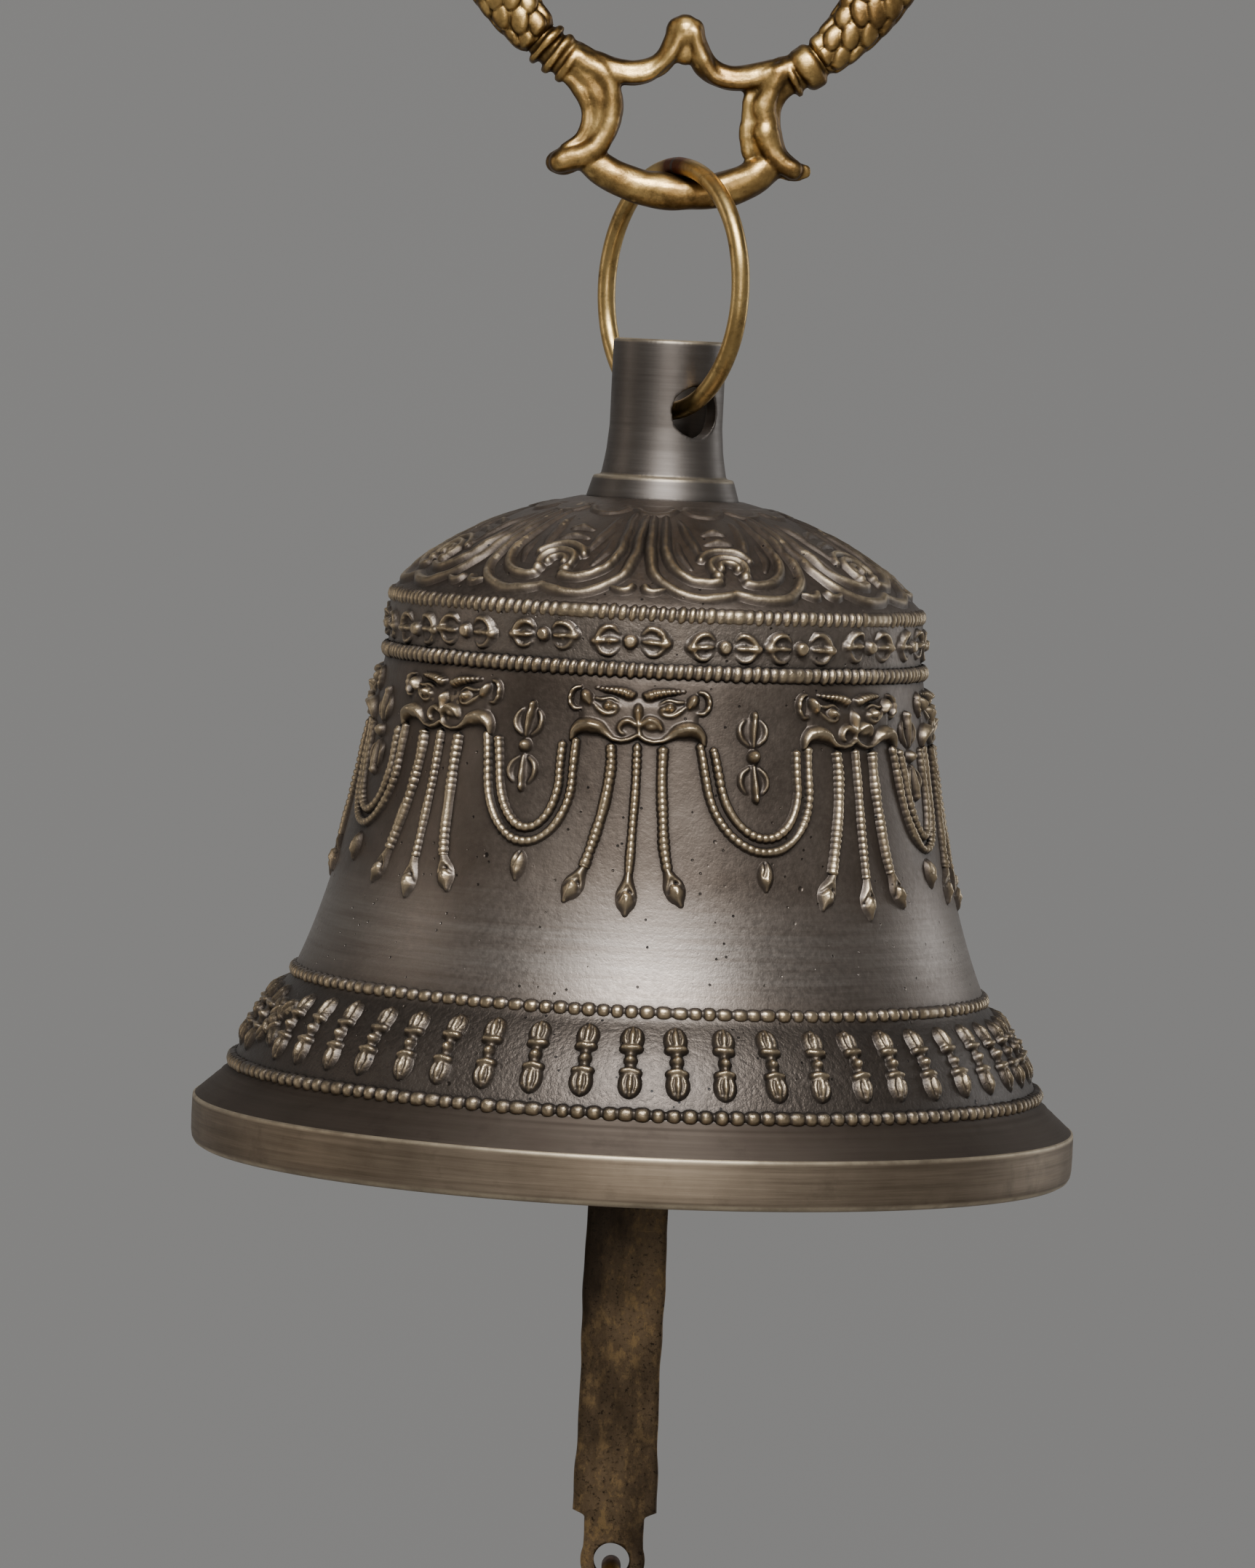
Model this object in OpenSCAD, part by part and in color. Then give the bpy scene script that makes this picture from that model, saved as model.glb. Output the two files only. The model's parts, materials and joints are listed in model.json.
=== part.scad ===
// Hand-cast temple bell on a double-fish hanger, with a ring clapper chain.
// The origin is the centre of the hanging eye. +Z is up, +X is to the right of the front view.
// Heights in the names below are measured downwards from the top of the bell's neck.

/* [Hanging chain] */
// Distance from the hanging eye's centre down to the top of the neck
neck_drop = 120; // [118:0.5:124]
// Centreline radius of the ring between hanger and bell
link_ring_r = 21; // [20.6:0.1:21.4]
// Wire radius of that ring
link_wire_r = 1.55; // [1.3:0.05:1.6]
// Turn of the ring's plane from straight front-to-back, in degrees
link_turn = 33; // [0:1:40]

/* [Neck] */
// Outer radius of the neck's straight part
neck_r = 9.7; // [9.4:0.1:10]
// Radius of the hollow inside the neck
neck_bore_r = 7; // [6.8:0.1:7.4]
// Radius of the cross hole that holds the ring
cross_hole_r = 4.4; // [4.3:0.1:4.8]
// Depth of the cross hole's axis below the neck's top
cross_hole_h = 12.25; // [11:0.25:13]
// Collar radius at its foot
collar_r = 13.2; // [12.8:0.1:14]

/* [Bell shell] */
// Outer radius of the brushed rim
rim_r = 76.1; // [75:0.1:77]
// Depth of the mouth below the neck's top
mouth_h = 141.6; // [141:0.1:143]
// Radius of the sphere that the shoulder follows
dome_r = 64.7; // [64:0.1:65.4]
// Radius of the plain band under the shoulder
band_r = 45.9; // [45.6:0.1:46.2]
// Thickness of the casting at the shoulder
shoulder_wall = 3.4; // [3:0.1:4]
// Thickness of the casting at the waist
waist_wall = 3.4; // [3:0.1:4]

/* [Clapper] */
// Width of the flat clapper bar
bar_w = 14; // [12:0.5:14.5]
// Thickness of the bar
bar_t = 3.2; // [2.6:0.1:3.4]
// Radius of the striking ball
ball_r = 17; // [15:0.5:17.5]
// Depth of the ball's centre
ball_h = 126; // [120:1:128]
// Depth where the bar narrows to its end tab
tab_h = 203; // [198:1:208]
// Centreline radius of the pull ring
pull_ring_r = 16; // [14:0.5:20]
// Wire radius of the pull ring
pull_wire_r = 1.65; // [1.4:0.05:1.7]

/* [Fish hanger] */
// Radius of the ring that the two fish bodies form
fish_ring_r = 37; // [36:0.5:39]
// Half width of a fish at its middle
fish_half_w = 8; // [7:0.25:8.5]
// Half thickness of a fish at its middle
fish_half_t = 5.5; // [4.5:0.25:6]
// Radius of the hole in the hanging eye
eye_hole_r = 4.5; // [4:0.1:5]
// Length of the hanging eye, front to back
eye_length = 9; // [7:0.5:10]

/* [Hidden] */
$fn = 96;

// clearance between pieces that hang loosely in one another
loose = 0.35;
// sliding clearance between pieces of one assembly
fit = 0.05;

// neck and crown
neck_top_z = -neck_drop;
neck_flare_r = 10.8;
neck_end_h = 23.6;
collar_top_r = 12.1;
seat_h = 27.5;
crown_h = 31;
dome_centre_h = 90.5;

// bead rows as [centre radius, depth, bead radius]
bead_rows = [[45.15, 45.4, 1.25], [45.95, 55.3, 1.25], [59.3, 111, 1.2], [69.35, 127, 1.35]];

// eye bolt, washer and nut
bolt_r = 3;
bolt_end_h = 20.3;
washer_t = 1;
washer_r = 6.2;
nut_t = 5;
nut_flats = 10;
shoulder_r = 5;
shoulder_t = 1.6;
loop_r = 5;
loop_wire_r = 1.6;
loop_h = crown_h + shoulder_t + loop_r + 0.8;

// clapper link: its top wire hangs in the bolt's loop
link_r = 6.5;
wire_r = 1.5;
link_top_h = loop_h + loop_r - loop_wire_r - wire_r - loose;
link_h = link_top_h + link_r;
link_foot_h = link_h + link_r;

// clapper bar
bar_hole_r = 3.3;
bar_hole_h = link_foot_h + 1.2;
bar_eye_r = 7.6;
tab_w = 10.6;
tab_hole_r = 3.1;
tab_hole_h = tab_h + 8.6;
tab_eye_r = 5.6;
pull_top_h = tab_hole_h + tab_hole_r - pull_wire_r - loose - 0.1;
rivet_r = 2;
rivet_head_r = 3.4;
rivet_head_t = 1.2;

// hanger: a height above the neck's top becomes a height in the row frame with rise()
crescent_r = 30;
crescent_wire_r = 2.75;
crescent_low = 25;
crescent_angle = 33;
fish_centre_z = rise(78);
tail_start = [-15.4, rise(29)];
collar_angle = 236;
snout_angle = 99;
body_steps = 20;
body_sides = 14;
stem_steps = 8;
stem_sides = 12;
eye_boss_r = 9.5;

bell_metal = [0.31, 0.26, 0.21];
golden_brass = [0.66, 0.50, 0.28];
dark_brass = [0.36, 0.29, 0.20];
steel = [0.55, 0.55, 0.54];

function rise(h) = neck_top_z + h;
function bezier(a, b, c, t) = (1 - t) * (1 - t) * a + 2 * t * (1 - t) * b + t * t * c;
function curve(a, b, c, steps) = [for (i = [0 : steps]) bezier(a, b, c, i / steps)];
// point of a circle about the dome's centre at radius from the axis r
function dome_point(sphere_r, r) = [r, dome_centre_h - sqrt(sphere_r * sphere_r - r * r)];
function dome_curve(sphere_r, from, to, steps) =
    [for (i = [0 : steps]) dome_point(sphere_r, from + (to - from) * i / steps)];
function backwards(list) = [for (i = [len(list) - 1 : -1 : 0]) list[i]];
// turn a list of [radius, depth] into points of a profile with +Z up
function upright(list) = [for (p = list) [p[0], neck_top_z - p[1]]];

// a ring of round wire, lying flat about the origin
module wire_ring(r, wire) {
    rotate_extrude() translate([r, 0]) circle(r = wire);
}

// ---- bell ----

function shell_outside() = concat(
    [[collar_r + fit, seat_h]],
    dome_curve(dome_r, collar_r + fit, band_r - 0.3, 14),
    [[band_r, 45.4], [band_r, 55.3]],
    curve([46.4, 56.6], [51.5, 92], [59.2, 109.8], 12),
    curve([60.2, 112.2], [65.4, 117.4], [68.9, 125.7], 5),
    [[70.3, 128.4], [rim_r - 0.4, 133.2], [rim_r, 133.8], [rim_r, mouth_h - 1.3],
     [rim_r - 0.9, mouth_h]]
);

function shell_inside() = concat(
    [[14.4, crown_h]],
    dome_curve(dome_r - shoulder_wall, 16, 41, 10),
    curve([46.4 - waist_wall, 51], [51.5 - waist_wall, 92], [59.4 - waist_wall, 111.5], 10),
    curve([59.4 - waist_wall + 0.8, 113.4], [61.6, 122], [69.3, 134], 6),
    [[70.9, mouth_h]]
);

module bell_shell() {
    color(bell_metal) difference() {
        union() {
            rotate_extrude() polygon(upright(concat(
                [[0, seat_h]], shell_outside(), backwards(shell_inside()), [[0, crown_h]])));
            for (row = bead_rows)
                translate([0, 0, neck_top_z - row[1]]) wire_ring(row[0], row[2]);
        }
        translate([0, 0, rise(-crown_h - 1)]) cylinder(r = bolt_r + fit, h = crown_h - seat_h + 2);
    }
}

module bell_neck() {
    outline = [
        [neck_bore_r, 0], [neck_r - 0.4, 0], [neck_r, 0.4], [neck_r, 15], [neck_r + 0.35, 19],
        [neck_flare_r, neck_end_h], [collar_top_r, neck_end_h], [collar_r, seat_h],
        [neck_bore_r, seat_h]
    ];
    color(dark_brass) difference() {
        rotate_extrude() polygon(upright(outline));
        translate([0, 0, rise(-cross_hole_h)]) rotate([0, 0, link_turn]) rotate([90, 0, 0])
            cylinder(r = cross_hole_r, h = 4 * neck_r, center = true);
    }
}

module eye_bolt() {
    color(steel) union() {
        translate([0, 0, rise(-crown_h - 0.5)]) cylinder(r = bolt_r, h = crown_h - bolt_end_h);
        translate([0, 0, rise(-bolt_end_h - 0.5)]) cylinder(r1 = bolt_r, r2 = bolt_r - 0.5, h = 0.5);
        translate([0, 0, rise(-crown_h - shoulder_t)]) cylinder(r = shoulder_r, h = shoulder_t);
        translate([0, 0, rise(-loop_h)]) rotate([90, 0, 0]) wire_ring(loop_r, loop_wire_r);
    }
}

module crown_washer() {
    color(steel) translate([0, 0, rise(-seat_h)]) difference() {
        cylinder(r = washer_r, h = washer_t);
        translate([0, 0, -1]) cylinder(r = bolt_r + 0.2, h = washer_t + 2);
    }
}

module crown_nut() {
    color(steel) translate([0, 0, rise(-seat_h + washer_t)]) difference() {
        cylinder(r = nut_flats / 2 / cos(30), h = nut_t, $fn = 6);
        translate([0, 0, -1]) cylinder(r = bolt_r + fit, h = nut_t + 2, $fn = 48);
    }
}

module link_ring() {
    color(golden_brass) translate([0, 0, rise(-cross_hole_h + link_ring_r)])
        rotate([0, 0, link_turn]) rotate([0, 90, 0]) wire_ring(link_ring_r, link_wire_r);
}

// ---- clapper ----

module clapper_link() {
    color(golden_brass) translate([0, 0, rise(-link_h)]) rotate([0, 90, 0]) wire_ring(link_r, wire_r);
}

// outline of the flat bar, in X and Z
module bar_outline() {
    difference() {
        union() {
            translate([0, rise(-bar_hole_h)]) circle(r = bar_eye_r);
            translate([-bar_w / 2, rise(-tab_h)]) square([bar_w, tab_h - bar_hole_h]);
            translate([-tab_w / 2, rise(-tab_hole_h)]) square([tab_w, tab_hole_h - tab_h + 1]);
            translate([0, rise(-tab_hole_h)]) circle(r = tab_eye_r);
        }
        translate([0, rise(-bar_hole_h)]) circle(r = bar_hole_r);
        translate([0, rise(-ball_h)]) circle(r = rivet_r + fit);
        translate([0, rise(-tab_hole_h)]) circle(r = tab_hole_r);
    }
}

module clapper_bar() {
    color(dark_brass) rotate([90, 0, 0]) translate([0, 0, -bar_t / 2])
        linear_extrude(bar_t) bar_outline();
}

module clapper_ball() {
    belt_r = ball_r + 0.5;
    belt_h = 6;
    slot = [bar_w + 2 * fit, bar_t + 2 * fit, 3 * ball_r];
    color(dark_brass) translate([0, 0, rise(-ball_h)]) difference() {
        union() {
            sphere(r = ball_r);
            cylinder(r = belt_r, h = belt_h, center = true);
            cylinder(r = 9.5, h = 2 * ball_r - 0.6, center = true);
        }
        cube(slot, center = true);
        rotate([90, 0, 0]) cylinder(r = rivet_r + fit, h = 3 * ball_r, center = true);
    }
}

module ball_rivet() {
    half = ball_r + 0.5 + rivet_head_t;
    color(golden_brass) translate([0, 0, rise(-ball_h)]) rotate([90, 0, 0]) union() {
        cylinder(r = rivet_r, h = 2 * half - 1, center = true);
        for (side = [0, 180])
            rotate([side, 0, 0]) translate([0, 0, ball_r + 0.5])
                cylinder(r1 = rivet_head_r, r2 = rivet_head_r - 1, h = rivet_head_t);
    }
}

module pull_ring() {
    color(golden_brass) translate([0, 0, rise(-pull_top_h - pull_ring_r)])
        rotate([0, 90, 0]) wire_ring(pull_ring_r, pull_wire_r);
}

// ---- fish hanger ----

// one ring of a swept body: place [x, z], direction of the sweep in degrees, half width, half thickness
function ring(place, heading, w, t, sides) = [
    for (k = [0 : sides - 1])
        let (side = w * cos(360 * k / sides))
            [place[0] - side * sin(heading), t * sin(360 * k / sides), place[1] + side * cos(heading)]
];

// joins rings of points into a closed body
module sweep(rings) {
    sides = len(rings[0]);
    last = len(rings) - 1;
    walls = [
        for (i = [0 : last - 1]) for (k = [0 : sides - 1])
            let (a = i * sides + k, b = i * sides + (k + 1) % sides)
                each [[a, b, b + sides], [a, b + sides, a + sides]]
    ];
    start = [for (k = [sides - 1 : -1 : 0]) k];
    end = [for (k = [0 : sides - 1]) last * sides + k];
    polyhedron([for (r = rings) each r], concat(walls, [start, end]));
}

// half width of a fish along its body: slim at the tail, full at the middle, tapering to the snout
function girth(t) = 0.42 + 0.58 * sin(180 * t ^ 1.1);

module fish_body() {
    sweep([
        for (i = [0 : body_steps])
            let (t = i / body_steps, angle = collar_angle + (snout_angle - collar_angle) * t)
                ring([fish_ring_r * cos(angle), fish_centre_z + fish_ring_r * sin(angle)],
                     angle - 90, fish_half_w * girth(t), fish_half_t * (0.25 + 0.75 * girth(t)),
                     body_sides)
    ]);
}

// the tail's stem, from the crescent up to the collar rings
module tail_stem() {
    top = [fish_ring_r * cos(collar_angle + 1), fish_centre_z + fish_ring_r * sin(collar_angle + 1)];
    bend = [-12.2, rise(42)];
    sweep([
        for (i = [0 : stem_steps])
            let (t = i / stem_steps, place = bezier(tail_start, bend, top, t),
                 way = (1 - t) * (bend - tail_start) + t * (top - bend))
                ring(place, atan2(way[1], way[0]), 3.3, 2.9, stem_sides)
    ]);
}

module collar_rings() {
    for (step = [0, 4.6])
        let (angle = collar_angle - step)
            translate([fish_ring_r * cos(angle), 0, fish_centre_z + fish_ring_r * sin(angle)])
                rotate([0, -angle, 0]) cylinder(r = 4.0 + 0.04 * step, h = 2, center = true);
}

module crescent() {
    translate([0, 0, rise(crescent_low + crescent_r)]) rotate([90, 0, 0])
        rotate([0, 0, 270 - crescent_angle])
            rotate_extrude(angle = 2 * crescent_angle) translate([crescent_r, 0])
                circle(r = crescent_wire_r);
}

// rounded lobe of the tail fin
module fin_lobe() {
    translate([-12.6, 0, rise(29.6)]) rotate([0, -90, 0]) {
        cylinder(r1 = 2.8, r2 = 1.9, h = 7);
        translate([0, 0, 7]) sphere(r = 1.9);
    }
}

// cross bar shaped like a cupid's bow, with a nub in the middle
module bow_bar() {
    upper = [for (x = [-15 : 0.75 : 15]) [x, rise(47.6 + 8.1 * exp(-pow(abs(x) / 3.9, 3)))]];
    lower = [for (x = [15 : -0.75 : -15]) [x, rise(43.2 + 2.2 * exp(-x * x / 50) + 1.8 * exp(-x * x / 5))]];
    rotate([90, 0, 0]) translate([0, 0, -2.6]) linear_extrude(5.2) polygon(concat(upper, lower));
}

module fish_hanger() {
    color(golden_brass) difference() {
        union() {
            for (side = [0, 1]) mirror([side, 0, 0]) {
                fish_body();
                tail_stem();
                collar_rings();
                fin_lobe();
            }
            crescent();
            bow_bar();
            rotate([90, 0, 0]) cylinder(r = eye_boss_r, h = eye_length, center = true);
        }
        rotate([90, 0, 0]) cylinder(r = eye_hole_r, h = 2 * eye_length, center = true);
    }
}

fish_hanger();
link_ring();
bell_neck();
bell_shell();
eye_bolt();
crown_washer();
crown_nut();
clapper_link();
clapper_bar();
clapper_ball();
ball_rivet();
pull_ring();
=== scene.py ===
import json
import math

import bpy
import bmesh
import numpy as np
from mathutils import Matrix, Vector

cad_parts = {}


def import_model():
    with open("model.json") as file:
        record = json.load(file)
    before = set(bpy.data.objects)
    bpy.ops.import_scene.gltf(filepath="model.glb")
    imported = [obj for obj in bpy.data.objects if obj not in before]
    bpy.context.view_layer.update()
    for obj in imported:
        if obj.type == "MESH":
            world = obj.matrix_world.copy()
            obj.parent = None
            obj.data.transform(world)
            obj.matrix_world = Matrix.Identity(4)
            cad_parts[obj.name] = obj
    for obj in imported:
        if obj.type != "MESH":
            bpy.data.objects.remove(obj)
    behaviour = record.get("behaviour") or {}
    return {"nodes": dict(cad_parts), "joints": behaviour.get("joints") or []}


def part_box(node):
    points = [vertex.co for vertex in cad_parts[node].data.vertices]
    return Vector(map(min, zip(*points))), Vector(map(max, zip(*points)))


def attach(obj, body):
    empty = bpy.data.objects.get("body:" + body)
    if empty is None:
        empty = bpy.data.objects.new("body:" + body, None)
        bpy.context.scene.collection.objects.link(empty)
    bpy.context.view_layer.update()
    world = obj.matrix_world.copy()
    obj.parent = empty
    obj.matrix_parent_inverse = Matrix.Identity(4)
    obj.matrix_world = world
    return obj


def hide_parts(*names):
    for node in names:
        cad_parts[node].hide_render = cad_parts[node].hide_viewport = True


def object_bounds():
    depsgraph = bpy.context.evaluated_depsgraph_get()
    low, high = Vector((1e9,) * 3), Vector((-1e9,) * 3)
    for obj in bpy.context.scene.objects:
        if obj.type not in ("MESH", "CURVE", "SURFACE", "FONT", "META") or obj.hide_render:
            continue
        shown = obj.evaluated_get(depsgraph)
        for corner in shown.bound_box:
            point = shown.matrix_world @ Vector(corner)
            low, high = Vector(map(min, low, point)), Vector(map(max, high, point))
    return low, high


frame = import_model()
CAD_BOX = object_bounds()

# Everything below is worked out in millimetres and becomes metres when a mesh is made.
MM = 0.001


def box_mm(node_name):
    """Low and high corner of a CAD node's box."""
    return [np.array(c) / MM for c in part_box(node_name)]


def joint_mm(name):
    """Where a joint sits and the direction of its axis."""
    found = JOINTS[name]
    return np.array(found["pos_m"]) / MM, np.array(found["axis"], dtype=float)


JOINTS = {j["name"]: j for j in frame["joints"]}
UP = np.array([0.0, 0.0, 1.0])

# Depths are in mm below the neck's top; turns are in degrees about Z, to the right of the front.
NECK_TOP = box_mm("bell_neck")[1][2]
RIM_R = box_mm("bell_shell")[1][0]
MOUTH_H = NECK_TOP - box_mm("bell_shell")[0][2]
MASK_TURN = -2.8
MASK_DRIFT = [0.0, 3.0, -1.0, 0.9, -0.6, 1.3, -1.2, 0.6]
SECTORS = 8

# ---------------------------------------------------------------- small mesh tools


def enclosed(verts, faces):
    """Volume inside closed faces, negative where they face inwards."""
    corners = verts[faces]
    fans = (np.cross(corners[:, k], corners[:, k + 1]) for k in range(1, faces.shape[1] - 1))
    return sum(float((corners[:, 0] * fan).sum()) for fan in fans) / 6


def make_mesh(name, verts, faces, material, body, values=None, replaces=(), closed=True):
    """A mesh object from points in mm, riding on a body. values are float attributes by name."""
    mesh = bpy.data.meshes.new(name)
    verts = np.asarray(verts, dtype=np.float64) * MM
    faces = np.asarray(faces, dtype=np.int32)
    if closed and enclosed(verts, faces) < 0:
        faces = faces[:, ::-1]
    mesh.vertices.add(len(verts))
    mesh.vertices.foreach_set("co", verts.ravel())
    corners = faces.shape[1]
    mesh.loops.add(faces.size)
    mesh.loops.foreach_set("vertex_index", faces.ravel())
    mesh.polygons.add(len(faces))
    mesh.polygons.foreach_set("loop_start", np.arange(len(faces), dtype=np.int32) * corners)
    mesh.polygons.foreach_set("use_smooth", np.full(len(faces), True))
    mesh.update(calc_edges=True)
    for key, value in (values or {}).items():
        layer = mesh.attributes.new(key, "FLOAT", "POINT")
        layer.data.foreach_set("value", np.asarray(value, dtype=np.float32))
    mesh.validate()
    piece = placed(name, mesh)
    finish_piece(piece, material, body, replaces)
    return piece


def finish_piece(piece, material, body, replaces=()):
    """Gives a piece its material, the body it rides on and the CAD nodes it stands for."""
    piece.data.materials.clear()
    piece.data.materials.append(material)
    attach(piece, body)
    if replaces:
        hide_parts(*replaces)


def grid_faces(rows, columns, wrap_rows=False, wrap_columns=False, first=0):
    """Quads over a rows x columns grid of points."""
    i = np.arange(rows if wrap_rows else rows - 1)
    j = np.arange(columns if wrap_columns else columns - 1)
    i, j = np.meshgrid(i, j, indexing="ij")
    i1, j1 = (i + 1) % rows, (j + 1) % columns
    quads = np.stack([i * columns + j, i * columns + j1, i1 * columns + j1, i1 * columns + j], -1)
    return quads.reshape(-1, 4) + first


def round_turns(count):
    """Angles of a full turn in radians."""
    return np.linspace(0, 2 * math.pi, count, endpoint=False)


def revolved(profile, turns, ripple=0.0, seed=3, solid=-math.inf):
    """Grid of points round Z through profile points [radius, depth].

    ripple is the unevenness in mm; it fades out towards the radius solid."""
    T, R = np.meshgrid(round_turns(turns), profile[:, 0], indexing="xy")
    H = np.repeat(profile[:, 1:2], turns, axis=1)
    X, Y = np.sin(T), -np.cos(T)
    if ripple:
        R = R + ripple * wobble(seed, 30.0, X * 50, Y * 50, H) * np.clip((R - solid) / 4, 0, 1)
    return np.stack([R * X, R * Y, NECK_TOP - H], -1)


def spaced(profile, step):
    """A profile with extra points so that no gap is wider than step; its own points stay."""
    rows = [profile[:1]]
    for a, b in zip(profile[:-1], profile[1:]):
        count = max(1, int(math.ceil(np.linalg.norm(b - a) / step)))
        t = np.arange(1, count + 1)[:, None] / count
        rows.append(a + (b - a) * t)
    return np.vstack(rows)


def bezier(a, b, c, count):
    """Points on a quadratic curve from a to c that leans towards b."""
    t = np.linspace(0, 1, count)[:, None]
    return (1 - t) ** 2 * np.array(a) + 2 * t * (1 - t) * np.array(b) + t**2 * np.array(c)


def smooth_path(points, per=6):
    """Catmull-Rom curve through points, any dimension."""
    p = np.asarray(points, dtype=float)
    p = np.vstack([2 * p[0] - p[1], p, 2 * p[-1] - p[-2]])
    t = np.linspace(0, 1, per, endpoint=False)[:, None]
    spans = []
    for k in range(1, len(p) - 2):
        a, b, c, d = p[k - 1], p[k], p[k + 1], p[k + 2]
        spans.append(0.5 * (2 * b + (c - a) * t + (2 * a - 5 * b + 4 * c - d) * t**2
                            + (3 * b - a - 3 * c + d) * t**3))
    return np.vstack(spans + [p[-2:-1]])


def even_path(points, step):
    """The same line with points a fixed distance apart."""
    length = np.concatenate([[0], np.cumsum(np.linalg.norm(np.diff(points, axis=0), axis=1))])
    at = np.linspace(0, length[-1], max(3, int(length[-1] / step) + 1))
    return np.stack([np.interp(at, length, points[:, k]) for k in range(points.shape[1])], -1), at


def wobble(seed, scale, *coords):
    """Smooth seeded noise about -1 to 1 that repeats nowhere nearby; scale is a feature's size."""
    rng = np.random.default_rng(seed)
    total = 0
    for _ in range(7):
        way = rng.normal(size=len(coords))
        way *= rng.uniform(0.6, 1.6) * 2.2 / scale / max(1e-6, np.linalg.norm(way))
        total = total + np.sin(sum(w * c for w, c in zip(way, coords)) + rng.uniform(0, 2 * math.pi))
    return total / 4


# ---------------------------------------------------------------- the bell's outer profile


def dome_arc(radius, low, high, count):
    """Points [radius from axis, depth] of the shoulder's sphere."""
    r = np.linspace(low, high, count)
    return np.stack([r, DOME_CENTRE - np.sqrt(radius**2 - r**2)], -1)


DOME_R = 64.7
DOME_CENTRE = 90.5
BAND_R = 45.9
OUTSIDE = np.vstack([
    [[13.3, 27.5]],
    dome_arc(DOME_R, 13.35, BAND_R - 0.3, 60),
    [[BAND_R, 45.6], [BAND_R, 50.0], [BAND_R + 0.05, 55.3]],
    bezier([46.4, 56.6], [51.5, 92], [59.2, 109.8], 60),
    bezier([60.2, 112.2], [65.4, 117.4], [68.9, 125.7], 24),
    [[70.2, 128.3], [RIM_R - 0.5, 133.0]],
])
OUTSIDE_S = np.concatenate([[0], np.cumsum(np.linalg.norm(np.diff(OUTSIDE, axis=0), axis=1))])


def s_at(depth):
    """Length along the profile at a depth below the neck's top."""
    return np.interp(depth, OUTSIDE[:, 1], OUTSIDE_S)


def outside_at(s):
    """Radius and depth of the outside at a length along the profile."""
    r = np.interp(s, OUTSIDE_S, OUTSIDE[:, 0])
    h = np.interp(s, OUTSIDE_S, OUTSIDE[:, 1])
    return r, h


def ripple(theta, s):
    """Slight unevenness of the cast wall, in mm."""
    x, y = np.sin(theta), np.cos(theta)
    return 0.07 * wobble(3, 26.0, x * 50, y * 50, s) + 0.02 * wobble(4, 8.0, x * 50, y * 50, s)


def on_bell(theta, s, lift):
    """Points on the bell's outside: angle from the front in radians, length along the profile, lift."""
    lift = lift + ripple(theta, s) * np.clip((OUTSIDE_S[-1] - 6 - s) / 3, 0, 1)
    r, h = outside_at(s)
    r2, h2 = outside_at(s + 0.9)
    r1, h1 = outside_at(s - 0.9)
    slope = np.hypot(r2 - r1, h2 - h1)
    out, up = (h2 - h1) / slope, (r2 - r1) / slope
    rr = r + out * lift
    z = NECK_TOP - h + up * lift
    return np.stack([rr * np.sin(theta), -rr * np.cos(theta), z], -1)


# ---------------------------------------------------------------- relief built as height fields


def along(values, count):
    """One number, or a few spread evenly, as one number per point."""
    values = np.atleast_1d(np.asarray(values, dtype=float))
    return np.interp(np.linspace(0, 1, count), np.linspace(0, 1, len(values)), values)


def stroke(U, V, points, width, height):
    """Height in mm of a rounded ridge that follows points; it falls below zero outside."""
    p = np.asarray(points, dtype=float)
    w, h = along(width, len(p)), along(height, len(p))
    best = np.full(U.shape, -9.0)
    for k in range(len(p) - 1):
        a, b = p[k], p[k + 1]
        reach = 1.5 * max(w[k], w[k + 1])
        near = ((U > min(a[0], b[0]) - reach) & (U < max(a[0], b[0]) + reach)
                & (V > min(a[1], b[1]) - reach) & (V < max(a[1], b[1]) + reach))
        if not near.any():
            continue
        u, v = U[near], V[near]
        d = b - a
        t = np.clip(((u - a[0]) * d[0] + (v - a[1]) * d[1]) / max(1e-9, d @ d), 0, 1)
        ww = w[k] + (w[k + 1] - w[k]) * t
        hh = h[k] + (h[k + 1] - h[k]) * t
        dist = np.hypot(u - a[0] - d[0] * t, v - a[1] - d[1] * t)
        best[near] = np.maximum(best[near], hh * (1 - (dist / ww) ** 2))
    return best


def curve_stroke(U, V, points, width, height):
    """The same ridge along a smooth curve through the points."""
    return stroke(U, V, smooth_path(points), width, height)


def blob(U, V, u0, v0, ru, rv, height, turn=0.0):
    """An oval bump; turn is in degrees."""
    c, s = math.cos(math.radians(turn)), math.sin(math.radians(turn))
    u = (U - u0) * c + (V - v0) * s
    v = -(U - u0) * s + (V - v0) * c
    return height * (1 - (u / ru) ** 2 - (v / rv) ** 2)


def merge(*fields, soft=0.14):
    """The highest of several fields, with a small fillet where they meet."""
    total = fields[0]
    for f in fields[1:]:
        d = np.clip(0.5 + 0.5 * (f - total) / soft, 0, 1)
        total = total * (1 - d) + f * d + soft * d * (1 - d) * (total > -1) * (f > -1)
    return total


def soften(H, cells):
    """Gaussian blur of a height grid."""
    reach = int(3 * cells + 1)
    weights = np.exp(-0.5 * (np.arange(-reach, reach + 1) / cells) ** 2)
    weights /= weights.sum()
    for axis in (0, 1):
        pad = [(reach, reach) if a == axis else (0, 0) for a in (0, 1)]
        wide = np.pad(H, pad, mode="edge")
        H = sum(w * np.take(wide, np.arange(k, k + H.shape[axis]), axis=axis) for k, w in enumerate(weights))
    return H


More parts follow.
